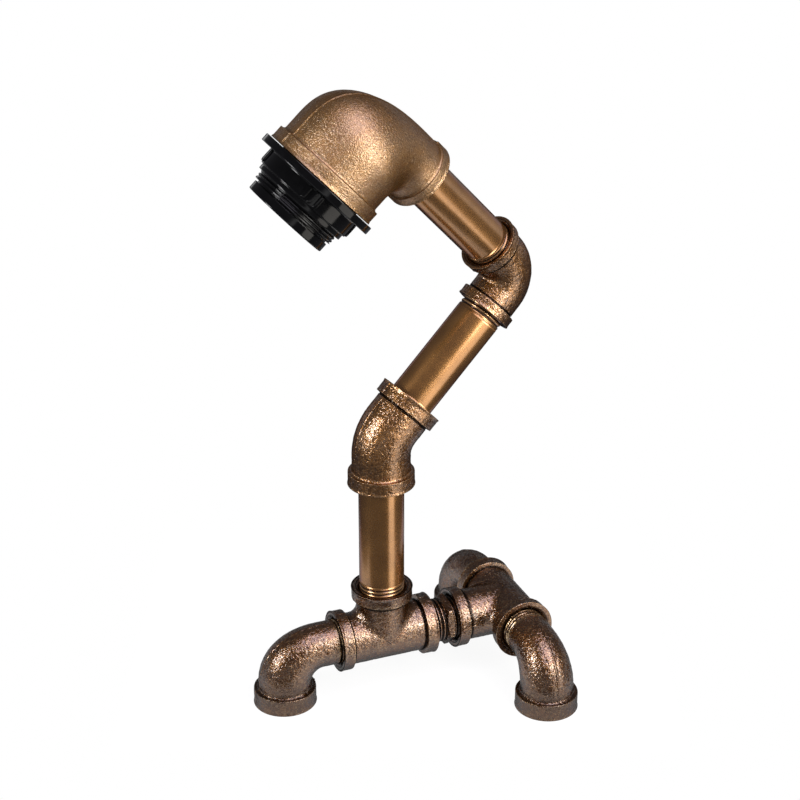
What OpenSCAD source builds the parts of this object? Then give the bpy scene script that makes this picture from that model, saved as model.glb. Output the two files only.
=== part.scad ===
// Table lamp built from half-inch pipe fittings.
// A base on three turned-down elbows carries a column, a leaning middle arm and an upper arm.
// A large reducing elbow at the top holds a black screw lampholder with its shade ring.
// Origin: centre of the front foot's mouth on the table. +X runs to the rear feet, +Z is up.

/* [Pipe] */
// Outside diameter of the pipe and of every male end
pipe_od = 20.2; // [19.6:0.1:20.8]
// Wall of the pipe
pipe_wall = 2.6; // [2:0.1:3]
// How far a pipe or a male end reaches into a fitting
socket_depth = 10.5; // [9:0.5:11]
// Column pipe that shows between its two fittings
column_shows = 51.6; // [45:0.1:120]
// Middle pipe that shows between its two fittings
middle_shows = 49.5; // [40:0.1:120]
// Upper pipe that shows between its two fittings
upper_shows = 51.4; // [40:0.1:120]

/* [Fits] */
// Gap between a pipe and its socket, on the radius
thread_gap = 0.05; // [0.03:0.01:0.1]
// Gap below the end of a pipe that turns in its socket
turn_gap = 0.3; // [0.2:0.05:0.5]
// Chamfer at the mouth of every socket of a tee or an arm elbow
mouth_chamfer = 1.4; // [0.8:0.1:1.6]
// Chamfer at the mouth of a foot
foot_chamfer = 0.8; // [0.6:0.1:1.6]

/* [Feet] */
// Height of the base pipe run over the table
foot_reach = 24.9; // [23:0.1:40]
// From a foot's axis to the face of the tee that it screws into
foot_side = 24.2; // [22:0.1:40]
// Outside diameter of a foot's band
foot_band_d = 28.6; // [27:0.1:32]
// Width of a foot's band
foot_band_w = 7.8; // [5:0.1:9]
// Outside diameter of a foot's upright body
foot_body_d = 24.4; // [23.6:0.1:25]
// Outside diameter of a foot's level neck
foot_neck_d = 20.8; // [20.8:0.1:23]

/* [Tees] */
// From a tee's centre to the face of its straight run
tee_run_reach = 22.7; // [22:0.1:34]
// From the front tee's centre to the rim that holds the column
front_branch_reach = 24.3; // [22:0.1:36]
// From the rear tee's centre to the rim that faces the front
rear_branch_reach = 27.3; // [22:0.1:36]
// Outside diameter of a tee's bands
tee_band_d = 28; // [27:0.1:32]
// Width of a tee's bands
tee_band_w = 5.3; // [4:0.1:7]
// Outside diameter of a tee's body
tee_body_d = 24; // [23.4:0.1:25.4]

/* [Nipple] */
// Distance between the faces of the two tees
nipple_shows = 10.8; // [8:0.1:30]
// Width of the hexagon
hex_w = 3.6; // [3:0.1:5]
// Hexagon across its flats
hex_af = 21; // [20.8:0.1:25]
// From the hexagon to the rear tee
hex_back = 1.4; // [1:0.1:2]

/* [Lower elbow] */
// From the centre of the 45 degree elbow to its faces
lower_reach = 21.4; // [20:0.1:30]
// Outside diameter of its bands
lower_band_d = 30; // [29:0.1:33]
// Width of its bands
lower_band_w = 6.2; // [4:0.1:7]
// Outside diameter of its body
lower_body_d = 26.4; // [25:0.1:27.4]
// Turn of the column and its elbow in the front tee
mast_turn = 6.5; // [-20:0.5:20]

/* [Upper elbow] */
// From the centre of the 90 degree elbow to its faces
upper_reach = 22.4; // [22:0.1:34]
// Outside diameter of its bands
upper_band_d = 26.4; // [25.8:0.1:30]
// Width of its bands
upper_band_w = 4.6; // [3.5:0.1:7]
// Outside diameter of its body
upper_body_d = 23.2; // [22.8:0.1:24.6]
// Turn of the middle arm in the lower elbow
middle_turn = 6; // [-20:0.5:20]

/* [Head elbow] */
// From the centre of the head elbow to the face of its small end
head_small_reach = 34.8; // [34.4:0.1:60]
// Outside diameter of its small band
head_small_band_d = 30; // [29:0.1:33]
// Width of its small band
head_small_band_w = 4.6; // [3.6:0.1:5]
// Outside diameter of its neck
head_neck_d = 28.2; // [26:0.1:29]
// From the centre of the head elbow to the face of its large end
head_large_reach = 28.8; // [28:0.1:40]
// Outside diameter of its large band
head_large_band_d = 51.6; // [50:0.1:56]
// Width of its large band
head_large_band_w = 5.8; // [4:0.1:6.4]
// Outside diameter of its large body
head_body_d = 48.2; // [46.5:0.1:50]
// Wall of the head casting
head_wall = 3.2; // [2.6:0.1:3.6]
// Turn of the head arm in the upper elbow
head_turn = -6; // [-20:0.5:20]

/* [Lampholder] */
// Outside diameter of the holder over its thread
holder_thread_d = 39.2; // [38.6:0.1:39.8]
// Wall of the holder's outer shell
holder_wall = 2; // [1.6:0.1:2.4]
// From the head elbow's large face to the end of the holder
holder_shows = 20.8; // [18:0.1:24]
// Outside diameter of the plain collar at the end of the holder
holder_end_d = 37.4; // [36:0.1:38]
// Length of the plain collar at the end of the holder
holder_end_l = 3.8; // [2:0.1:5]
// Thickness of the lip at the end of the holder
holder_lip = 1.6; // [1.2:0.1:2]
// Outside diameter of the shade ring's flange
flange_d = 55.2; // [53:0.1:60]
// Thickness of the shade ring's flange
flange_t = 3.3; // [2:0.1:4]
// Outside diameter of the shade ring's collar
collar_d = 43.8; // [43:0.1:46]
// Length of the shade ring's collar
collar_l = 8.8; // [6:0.1:9]
// Groups of grip ribs round the collar
rib_groups = 4; // [3:1:8]
// Ribs in each group
ribs_each = 3; // [2:1:4]
// Inner diameter of the lamp screw shell
screw_shell_d = 26.6; // [26.2:0.1:27]
// Sheet thickness of the lamp screw shell
shell_sheet = 0.4; // [0.3:0.1:0.6]
// Depth of the lamp screw shell
screw_shell_l = 24; // [20:0.5:26]
// Thickness of the ceramic contact carrier
carrier_t = 7; // [5:0.5:8]

/* [Hidden] */

$fn = 64;
pipe_r = pipe_od / 2;
bore_r = pipe_r - pipe_wall;
socket_r = pipe_r + thread_gap;
edge = 0.6;
leg_step = 0.15;
leg_root = 1;
cut = 1;

// Base layout
mast_x = foot_side + tee_run_reach;
rear_x = mast_x + tee_run_reach + nipple_shows + rear_branch_reach;
rear_foot_y = tee_run_reach + foot_side;
tee_rim_z = foot_reach + front_branch_reach;

// Arm layout
lower_z = tee_rim_z + column_shows + lower_reach;
middle_l = lower_reach + middle_shows + upper_reach;
upper_l = upper_reach + upper_shows + head_small_reach;
lean = 45;
hex_turn = 45;

// Cast bends
bend_ease = 1;
lower_bend_r = 19;
male_step = 3;
male_taper = 0.6;
foot_fillet = 4.5;
foot_power = 2.1;
head_fillet = 2.6;
head_power = 2.7;
head_neck_r = head_neck_d / 2;
head_mouth_r = head_body_d / 2;
head_corner_x = head_neck_r + head_fillet;
head_corner_z = head_mouth_r + head_fillet;

// Holder layout, measured along the head's large axis
holder_r = holder_thread_d / 2;
holder_end = head_large_reach + holder_shows;
flange_gap = 0.3;
ring_start = head_large_reach + flange_gap;
shell_mouth = holder_end - holder_lip;
carrier_top = shell_mouth - screw_shell_l;
carrier_bottom = carrier_top - carrier_t;
carrier_r = holder_r - holder_wall - thread_gap;
shell_floor = 2;
contact_recess = 1.4;
contact_seat = carrier_top - contact_recess;
recess_r = screw_shell_d / 2 - shell_floor;
cap_wall = 1.8;
cap_len = 12;
cap_taper = 5;
cap_neck_r = 6;
cap_neck_l = 3;
cord_hole_r = 4;

// Contacts and terminals
rivet_r = 1.5;
rivet_l = 3;
button_r = 4;
button_t = 1.2;
tab_l = 4.4;
tab_w = 3;
tab_t = 0.8;
tab_inset = 0.6;
terminal_d = 5.5;
terminal_l = 3;
terminal_out = 9;

// Grip ribs of the shade ring
rib_w = 1.8;
rib_out = 0.8;
rib_sink = 0.5;
rib_l = 6.2;
rib_step = 8;
rib_phase = 30;

// Frames that carry the moving pieces
module mast_frame() translate([mast_x, 0, 0]) rotate([0, 0, mast_turn]) children();

module middle_frame() mast_frame() translate([0, 0, lower_z]) rotate([0, lean, 0])
    rotate([0, 0, middle_turn]) children();

module upper_frame() middle_frame() translate([0, 0, middle_l]) rotate([0, -90, 0])
    rotate([0, 0, head_turn]) children();

module head_frame() upper_frame() translate([0, 0, upper_l]) children();

module mouth_frame() head_frame() rotate([0, -90, 0]) children();

// Solid of revolution of a socket leg, from its root at the origin to its mouth up the Z axis
module socket_leg(leg, body_r, band_r, band_w) {
    fillet = band_r - body_r;
    foot = leg - band_w - fillet;
    rotate_extrude() difference() {
        polygon([[0, 0], [body_r, 0], [body_r, foot], [band_r, foot], [band_r, leg - edge],
            [band_r - edge, leg], [0, leg]]);
        translate([band_r, foot]) circle(r = fillet);
    }
}

// Passage, threaded bore and chamfered mouth of a socket leg
module socket_bore(leg, chamfer = mouth_chamfer) {
    cylinder(r = bore_r, h = leg);
    translate([0, 0, leg - socket_depth]) cylinder(r = socket_r, h = socket_depth + cut);
    translate([0, 0, leg - chamfer]) cylinder(r1 = socket_r, r2 = socket_r + chamfer, h = chamfer);
}

// Round bend up the Z axis that turns towards +X, with the two axes crossing at the origin
module bend(r, bend_r, turn) {
    translate([bend_r, 0, -bend_r * tan(turn / 2)]) rotate([90, 0, 180]) rotate_extrude(angle = turn)
        translate([bend_r, 0]) circle(r = r);
}

// Places a leg on each end of a bend
module before_bend(bend_r, turn) translate([0, 0, -bend_r * tan(turn / 2)]) rotate([180, 0, 0]) children();

module after_bend(bend_r, turn) translate([bend_r, 0, -bend_r * tan(turn / 2)]) rotate([0, turn, 0])
    translate([-bend_r, 0, 0]) children();

// Elbow with its first mouth down at -Z and its second mouth at the given turn from +Z.
// Each leg is a hair thinner than the bend and is rooted a little way inside it.
module female_elbow(turn, reach, bend_r, body_r, band_r, band_w) {
    leg = reach - bend_r * tan(turn / 2) + leg_root;
    difference() {
        union() {
            bend(body_r, bend_r, turn);
            before_bend(bend_r, turn) rooted() socket_leg(leg, body_r - leg_step, band_r, band_w);
            after_bend(bend_r, turn) rooted() socket_leg(leg, body_r - leg_step, band_r, band_w);
        }
        bend(bore_r + leg_step, bend_r, turn);
        before_bend(bend_r, turn) rooted() socket_bore(leg);
        after_bend(bend_r, turn) rooted() socket_bore(leg);
    }
}

module rooted() translate([0, 0, -leg_root]) children();

// Cast bend that grows from a neck to a wider mouth. Its round sections fan out about the inner corner,
// which is the origin: the neck points down Z, the mouth points to -X, and both start one fillet away.
// Each section reaches out to a superellipse, so a higher power gives the back a fuller dome.
function fan_reach(a, neck_r, mouth_r, power, fillet) =
    pow(pow(cos(a) / (2 * neck_r + fillet), power) + pow(sin(a) / (2 * mouth_r + fillet), power), -1 / power);

function fan_ring(a, neck_r, mouth_r, power, fillet, inset, sides) = let (
        near = fillet + inset,
        far = fan_reach(a, neck_r, mouth_r, power, fillet) - inset,
        mid = (near + far) / 2,
        r = (far - near) / 2)
    [for (i = [0:sides - 1]) let (
        t = 360 * i / sides,
        out = mid + r * cos(t))
        [out * cos(a), r * sin(t), out * sin(a)]];

module fan_bend(neck_r, mouth_r, power, fillet, inset, sides, steps) {
    rings = [for (s = [0:steps]) fan_ring(90 * s / steps, neck_r, mouth_r, power, fillet, inset, sides)];
    points = [for (ring = rings) each ring];
    skin = [for (s = [0:steps - 1]) for (i = [0:sides - 1]) let (
            a = s * sides + i,
            b = s * sides + (i + 1) % sides)
        each [[a, a + sides, b], [b, a + sides, b + sides]]];
    neck_face = [for (i = [0:sides - 1]) i];
    mouth_face = [for (i = [sides - 1:-1:0]) steps * sides + i];
    polyhedron(points, concat(skin, [neck_face, mouth_face]));
}

// Foot elbow: mouth down on the table, male end along +X
module foot_elbow() {
    body_r = foot_body_d / 2;
    neck_r = foot_neck_d / 2;
    corner_x = body_r + foot_fillet;
    corner_z = neck_r + foot_fillet;
    foot_leg = foot_reach - corner_z + leg_root;
    neck_leg = foot_side - corner_x + leg_root;
    bore_bend = body_r + bend_ease;
    translate([0, 0, foot_reach]) difference() {
        union() {
            translate([corner_x, 0, -corner_z]) rotate([0, -90, 0])
                fan_bend(neck_r, body_r, foot_power, foot_fillet, 0, 32, 8);
            translate([0, 0, -corner_z]) rotate([180, 0, 0]) rooted()
                socket_leg(foot_leg, body_r - leg_step, foot_band_d / 2, foot_band_w);
            translate([corner_x, 0, 0]) rotate([0, 90, 0]) rooted() rotate_extrude()
                polygon([[0, 0], [neck_r - leg_step, 0], [neck_r - leg_step, neck_leg - male_step],
                    [pipe_r, neck_leg - male_step + male_taper], [pipe_r, neck_leg + socket_depth - edge],
                    [pipe_r - edge, neck_leg + socket_depth], [0, neck_leg + socket_depth]]);
        }
        bend(bore_r, bore_bend, 90);
        before_bend(bore_bend, 90) socket_bore(foot_reach - bore_bend, foot_chamfer);
        after_bend(bore_bend, 90) cylinder(r = bore_r, h = foot_side + socket_depth);
    }
}

// Tee with its run along X and its branch along +Z
module tee(branch_reach) {
    body_r = tee_body_d / 2;
    band_r = tee_band_d / 2;
    difference() {
        union() {
            for (a = [-90, 90]) rotate([0, a, 0]) socket_leg(tee_run_reach, body_r, band_r, tee_band_w);
            socket_leg(branch_reach, body_r, band_r, tee_band_w);
        }
        for (a = [-90, 90]) rotate([0, a, 0]) socket_bore(tee_run_reach);
        socket_bore(branch_reach);
    }
}

// Hollow cylinder up the Z axis between two heights
module tube(r_out, r_in, start, end) {
    translate([0, 0, start]) difference() {
        cylinder(r = r_out, h = end - start);
        translate([0, 0, -cut]) cylinder(r = r_in, h = end - start + 2 * cut);
    }
}

module plain_pipe(start, end) tube(pipe_r, bore_r, start, end);

// Base
module front_foot_elbow() color("saddlebrown") foot_elbow();

module near_foot_elbow() color("saddlebrown") translate([rear_x, -rear_foot_y, 0]) rotate([0, 0, 90]) foot_elbow();

module far_foot_elbow() color("saddlebrown") translate([rear_x, rear_foot_y, 0]) rotate([0, 0, -90]) foot_elbow();

module front_tee() color("sienna") translate([mast_x, 0, foot_reach]) tee(front_branch_reach);

module rear_tee() color("sienna") translate([rear_x, 0, foot_reach]) rotate([0, 0, 90]) rotate([-90, 0, 0])
    rotate([0, 0, 180]) tee(rear_branch_reach);

module hex_nipple() color("peru") translate([mast_x + tee_run_reach, 0, foot_reach]) rotate([0, 90, 0]) {
    hex_start = nipple_shows - hex_back - hex_w;
    difference() {
        union() {
            translate([0, 0, -socket_depth]) cylinder(r = pipe_r, h = nipple_shows + 2 * socket_depth);
            translate([0, 0, hex_start]) rotate([0, 0, hex_turn])
                cylinder(d = hex_af / cos(30), h = hex_w, $fn = 6);
        }
        translate([0, 0, -socket_depth - cut])
            cylinder(r = bore_r, h = nipple_shows + 2 * (socket_depth + cut));
    }
}

// Column and lower elbow
module column_pipe() color("chocolate") mast_frame()
    plain_pipe(tee_rim_z - socket_depth + turn_gap, lower_z - lower_reach + socket_depth);

module lower_elbow() color("sienna") mast_frame() translate([0, 0, lower_z])
    female_elbow(lean, lower_reach, lower_bend_r, lower_body_d / 2, lower_band_d / 2, lower_band_w);

// Middle arm
module middle_pipe() color("chocolate") middle_frame()
    plain_pipe(lower_reach - socket_depth + turn_gap, middle_l - upper_reach + socket_depth);

module upper_elbow() color("sienna") middle_frame() translate([0, 0, middle_l]) mirror([1, 0, 0])
    female_elbow(90, upper_reach, upper_body_d / 2 + bend_ease, upper_body_d / 2, upper_band_d / 2,
        upper_band_w);

// Head arm
module upper_pipe() color("chocolate") upper_frame()
    plain_pipe(upper_reach - socket_depth + turn_gap, upper_l - head_small_reach + socket_depth);

// Head elbow: neck down -Z onto the upper pipe, mouth towards -X
module neck_leg() translate([0, 0, -head_corner_z]) rotate([180, 0, 0]) rooted() children();

module mouth_leg() translate([-head_corner_x, 0, 0]) rotate([0, -90, 0]) rooted() children();

module head_bend(inset, sides, steps) translate([-head_corner_x, 0, -head_corner_z])
    fan_bend(head_neck_r, head_mouth_r, head_power, head_fillet, inset, sides, steps);

module head_elbow() color("goldenrod") head_frame() difference() {
    union() {
        head_bend(0, 40, 14);
        neck_leg() socket_leg(head_small_reach - head_corner_z + leg_root, head_neck_r - leg_step,
            head_small_band_d / 2, head_small_band_w);
        mouth_leg() socket_leg(head_large_reach - head_corner_x + leg_root, head_mouth_r - leg_step,
            head_large_band_d / 2, head_large_band_w);
    }
    head_bend(head_wall, 24, 8);
    neck_leg() socket_bore(head_small_reach - head_corner_z + leg_root);
    mouth_leg() cylinder(r = holder_r + thread_gap, h = head_large_reach);
}

// Lampholder, drawn with the lamp's axis along +Z
module holder_shell() color("black") mouth_frame() {
    end_r = holder_end_d / 2;
    end_start = holder_end - holder_end_l;
    tube(holder_r, holder_r - holder_wall, carrier_bottom, end_start - holder_lip);
    tube(holder_r, end_r - holder_wall, end_start - holder_lip, end_start);
    tube(end_r, end_r - holder_wall, end_start, shell_mouth);
    tube(end_r, screw_shell_d / 2 + shell_sheet, shell_mouth, holder_end);
}

module holder_cap() color("dimgray") mouth_frame() {
    top = carrier_bottom;
    wall_r = holder_r - edge;
    difference() {
        union() {
            translate([0, 0, top - cap_len]) cylinder(r1 = wall_r - cap_taper, r2 = wall_r, h = cap_len);
            translate([0, 0, top - cap_len - cap_neck_l]) cylinder(r = cap_neck_r, h = cap_neck_l + cut);
        }
        translate([0, 0, top - cap_len + cap_wall])
            cylinder(r1 = wall_r - cap_taper - cap_wall, r2 = wall_r - cap_wall, h = cap_len);
        translate([0, 0, top - cap_len - cap_neck_l - cut]) cylinder(r = cord_hole_r, h = cap_len);
    }
}

// The contacts lie in a recess of the carrier, below the floor that the lamp screws down to
module contact_carrier() color("white") mouth_frame() {
    tube(carrier_r, rivet_r, carrier_bottom, contact_seat);
    tube(carrier_r, recess_r, contact_seat, carrier_top);
}

module screw_shell() color("silver") mouth_frame() {
    outer_r = screw_shell_d / 2 + shell_sheet;
    tube(outer_r, screw_shell_d / 2, carrier_top, shell_mouth);
    tube(outer_r, recess_r, carrier_top, carrier_top + shell_sheet);
}

module centre_contact() color("gold") mouth_frame() {
    translate([0, 0, contact_seat]) cylinder(r = button_r, h = button_t);
    translate([0, 0, contact_seat - rivet_l])
        cylinder(r = rivet_r - thread_gap, h = rivet_l + button_t / 2);
}

module side_contact() color("gold") mouth_frame()
    translate([recess_r - tab_inset - tab_l, -tab_w / 2, contact_seat]) cube([tab_l, tab_w, tab_t]);

module terminal_screws() color("silver") mouth_frame() for (s = [-1, 1])
    translate([0, s * terminal_out, carrier_bottom - terminal_l]) cylinder(d = terminal_d, h = terminal_l);

module shade_ring() color("black") mouth_frame() translate([0, 0, ring_start]) difference() {
    union() {
        cylinder(d = flange_d, h = flange_t);
        cylinder(d = collar_d, h = flange_t + collar_l);
        for (g = [0:rib_groups - 1]) for (i = [0:ribs_each - 1])
            rotate([0, 0, rib_phase + 360 * g / rib_groups + (i - (ribs_each - 1) / 2) * rib_step])
                translate([collar_d / 2 - rib_sink, -rib_w / 2, flange_t])
                    cube([rib_sink + rib_out, rib_w, min(rib_l, collar_l)]);
    }
    translate([0, 0, -cut]) cylinder(r = holder_r + thread_gap, h = flange_t + collar_l + 2 * cut);
}

front_foot_elbow();
front_tee();
hex_nipple();
rear_tee();
near_foot_elbow();
far_foot_elbow();
column_pipe();
lower_elbow();
middle_pipe();
upper_elbow();
upper_pipe();
head_elbow();
holder_shell();
holder_cap();
contact_carrier();
screw_shell();
centre_contact();
side_contact();
terminal_screws();
shade_ring();
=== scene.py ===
"""Table lamp screwed together from half-inch pipe fittings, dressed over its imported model.

Every fitting is a skin of rings: rows of points that follow a profile along a path, worked out with numpy.
Sizes are in millimetres in each piece's own frame; a 4 x 4 placement puts the piece where the model has it,
and the mesh is written in metres. The origin is the centre of the front foot's mouth on the table.
"""
import logging
import math
from dataclasses import dataclass, field, replace
from enum import Enum
from functools import partial
from typing import ClassVar

import bpy
import numpy as np
from mathutils import Matrix, Vector


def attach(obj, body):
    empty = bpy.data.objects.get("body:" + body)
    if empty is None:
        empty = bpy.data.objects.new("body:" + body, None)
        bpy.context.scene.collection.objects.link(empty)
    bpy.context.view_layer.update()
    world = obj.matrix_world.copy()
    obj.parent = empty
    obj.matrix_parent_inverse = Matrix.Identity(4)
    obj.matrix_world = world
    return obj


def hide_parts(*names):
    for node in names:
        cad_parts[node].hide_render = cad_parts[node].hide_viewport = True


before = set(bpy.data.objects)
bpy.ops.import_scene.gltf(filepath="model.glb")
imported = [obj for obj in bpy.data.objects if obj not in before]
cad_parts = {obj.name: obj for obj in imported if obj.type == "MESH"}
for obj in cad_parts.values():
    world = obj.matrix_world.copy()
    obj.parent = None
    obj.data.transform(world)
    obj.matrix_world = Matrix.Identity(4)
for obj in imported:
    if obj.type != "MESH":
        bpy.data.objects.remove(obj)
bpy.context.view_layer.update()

LOG = logging.getLogger("lamp")
MM = 0.001
ROW_STEP = 0.4  # distance between the rows of a casting, in millimetres, which holds its pebbles
BORE_STEP = 4.0  # the same down a plain bore
THREAD_START = 0.8  # length of the chamfer before a male thread


# Placing


def turn(axis: str, degrees: float) -> np.ndarray:
    """Right-handed rotation about the axis "X", "Y" or "Z", as a 4 x 4 matrix."""
    return np.array(Matrix.Rotation(math.radians(degrees), 4, axis))


def shift(x: float, y: float, z: float) -> np.ndarray:
    """Translation by x, y, z millimetres, as a 4 x 4 matrix."""
    return np.array(Matrix.Translation((x, y, z)))


@dataclass(frozen=True)
class PipeSizes:
    """Sizes of the pipe thread that every fitting shares, in millimetres."""

    pipe_r: float = 10.1
    bore_r: float = 7.5
    socket_r: float = 10.15
    socket_depth: float = 10.5
    mouth_chamfer: float = 1.4
    foot_chamfer: float = 0.8
    pitch: float = 1.814
    thread_depth: float = 0.62


PIPE = PipeSizes()


@dataclass(frozen=True)
class Layout:
    """Where the fittings stand, in millimetres and degrees: the same chain of frames as in the model."""

    foot_reach: float = 24.9
    mast_x: float = 46.9
    rear_x: float = 107.7
    rear_foot_y: float = 46.9
    tee_rim_z: float = 49.2
    mast_turn: float = 6.5
    lower_z: float = 122.2
    lower_reach: float = 21.4
    lean: float = 45.0
    middle_turn: float = 6.0
    middle_l: float = 93.3
    upper_reach: float = 22.4
    upper_l: float = 108.6
    head_small_reach: float = 34.8
    head_turn: float = -6.0

    def mast(self) -> np.ndarray:
        """Frame of the column: its axis is Z."""
        return shift(self.mast_x, 0, 0) @ turn("Z", self.mast_turn)

    def middle(self) -> np.ndarray:
        """Frame of the leaning arm: origin at the lower elbow's centre, axis Z."""
        return self.mast() @ shift(0, 0, self.lower_z) @ turn("Y", self.lean) @ turn("Z", self.middle_turn)

    def upper(self) -> np.ndarray:
        """Frame of the upper arm: origin at the upper elbow's centre, axis Z."""
        return self.middle() @ shift(0, 0, self.middle_l) @ turn("Y", -90) @ turn("Z", self.head_turn)

    def head(self) -> np.ndarray:
        """Frame of the head elbow: origin where its two axes cross."""
        return self.upper() @ shift(0, 0, self.upper_l)

    def mouth(self) -> np.ndarray:
        """Frame of the lampholder: the lamp's axis is Z and points out of the mouth."""
        return self.head() @ turn("Y", -90)


LAYOUT = Layout()


# Relief of a casting


def lattice_noise(points: np.ndarray, cell: float, seed: int) -> np.ndarray:
    """Smooth random field in space.

    Formula: each corner of a lattice of the given cell holds a random direction. A point takes, from the
    eight corners of its cell, the dot product of that direction and the way to the corner, blended by
    6t^5 - 15t^4 + 10t^3 along each axis.

    Args:
        points: array (..., 3) in millimetres.
        cell: lattice spacing in millimetres.
        seed: number that fixes the directions.

    Returns:
        Array (...) of values of about -1 to 1.
    """
    size, gain = 256, 1.7
    mask = size - 1
    rng = np.random.default_rng(seed)
    ways = rng.normal(size=(size, 3))
    ways /= np.linalg.norm(ways, axis=1, keepdims=True)
    order = rng.permutation(size)
    place = points / cell
    base = np.floor(place).astype(int)
    local = place - base
    fade = local**3 * (local * (local * 6 - 15) + 10)
    total = np.zeros(points.shape[:-1])
    for corner in np.ndindex(2, 2, 2):
        step = np.array(corner)
        spot = base + step
        key = order[spot[..., 0] & mask]
        for axis in (1, 2):
            key = order[(key + spot[..., axis]) & mask]
        weight = np.prod(np.where(step == 1, fade, 1 - fade), axis=-1)
        total += weight * np.sum(ways[key] * (local - step), axis=-1)
    return np.clip(total * gain, -1, 1)


@dataclass(frozen=True)
class Relief:
    """Pebbled skin that the sand mould leaves, and the ridge where the two halves of the mould met.

    Pebbles have a coarse and a fine size with a share each; height is theirs, seam and seam_w the ridge's.
    """

    seed: int
    coarse: float = 1.9
    fine: float = 0.95
    height: float = 0.1
    seam: float = 0.2
    seam_w: float = 0.42
    coarse_share: float = 0.62
    fine_share: float = 0.5

    def field(self, points: np.ndarray) -> np.ndarray:
        """Two octaves of lattice noise, the coarse one stronger.

        Args:
            points: array (..., 3) in millimetres.

        Returns:
            Array (...) of values from -1 to 1.
        """
        coarse = lattice_noise(points, self.coarse, self.seed)
        fine = lattice_noise(points, self.fine, self.seed + 1)
        return np.clip(self.coarse_share * coarse + self.fine_share * fine, -1, 1)

    def ridge(self, theta: np.ndarray, radius: np.ndarray) -> np.ndarray:
        """Height of the parting seam: a bell curve of the distance round the ring from theta 0 or pi."""
        off = np.abs(np.sin(theta)) * radius
        return self.seam * np.exp(-((off / self.seam_w) ** 2))


# Profiles


@dataclass(frozen=True)
class Knot:
    """Corner of a profile: place along the path, radius (or offset from the body), and how it is finished.

    Soften is the length cut from both sides by the rounding, wear the rubbed colour there where positive and
    painted shade where negative, grain the share of the casting's relief.
    """

    s: float
    r: float
    soften: float = 0.0
    wear: float = 0.0
    grain: float = 1.0


@dataclass(frozen=True)
class Rows:
    """Resampled profile: place, radius, grain weight and wear of each row."""

    s: np.ndarray
    r: np.ndarray
    grain: np.ndarray
    wear: np.ndarray


def joined(*parts: Rows) -> Rows:
    """Rows of several profiles, one after the other."""
    columns = zip(*((part.s, part.r, part.grain, part.wear) for part in parts))
    return Rows(*(np.concatenate(column) for column in columns))


def profile(knots: list[Knot], step: float, wear_reach: float = 0.55) -> Rows:
    """Rows along a polyline whose corners are softened.

    Formula: a corner K with softening d becomes the quadratic curve (1-t)^2 A + 2t(1-t) K + t^2 B, where A
    and B lie at d from K on its two sides. The line is cut in steps of about the given length. Wear falls off
    as exp(-distance / reach) from each corner that has some, and grain goes linearly from knot to knot.

    Negative wear is painted shade in a corner or crease.

    Args:
        knots: corners in order.
        step: greatest distance between rows.
        wear_reach: length over which the rubbed colour or the painted shade fades.

    Returns:
        The rows.
    """
    side_share, corner_step = 0.48, 0.3
    spots = np.array([[k.s, k.r] for k in knots], float)
    gaps = np.linalg.norm(np.diff(spots, axis=0), axis=1)
    line: list[np.ndarray] = [spots[:1]]
    for i in range(1, len(knots) - 1):
        d = min(knots[i].soften, side_share * gaps[i - 1], side_share * gaps[i])
        if d <= 0:
            line.append(spots[i : i + 1])
            continue
        a = spots[i] + (spots[i - 1] - spots[i]) * d / gaps[i - 1]
        b = spots[i] + (spots[i + 1] - spots[i]) * d / gaps[i]
        t = np.linspace(0, 1, 3 + int(math.ceil(d / min(step, corner_step))))[:, None]
        line.append((1 - t) ** 2 * a + 2 * t * (1 - t) * spots[i] + t**2 * b)
    line.append(spots[-1:])
    bent = np.concatenate(line)
    length = np.concatenate([[0], np.cumsum(np.linalg.norm(np.diff(bent, axis=0), axis=1))])
    keep = np.concatenate([[True], np.diff(length) > 1e-6])
    bent, length = bent[keep], length[keep]
    counts = np.maximum(1, np.ceil(np.diff(length) / step - 1e-9).astype(int))
    starts = np.repeat(length[:-1], counts)
    widths = np.repeat(np.diff(length) / counts, counts)
    index = np.arange(counts.sum()) - np.repeat(np.cumsum(counts) - counts, counts)
    at = np.append(starts + widths * index, length[-1])
    s = np.interp(at, length, bent[:, 0])
    r = np.interp(at, length, bent[:, 1])
    near = np.array([length[np.argmin(np.linalg.norm(bent - p, axis=1))] for p in spots])
    grain = np.interp(at, near, np.array([k.grain for k in knots]))
    fall = np.exp(-np.abs(at[:, None] - near[None]) / wear_reach) * np.array([k.wear for k in knots])[None]
    wear = fall.max(axis=1, initial=0) + fall.min(axis=1, initial=0)
    return Rows(s, r, grain, wear)


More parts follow.
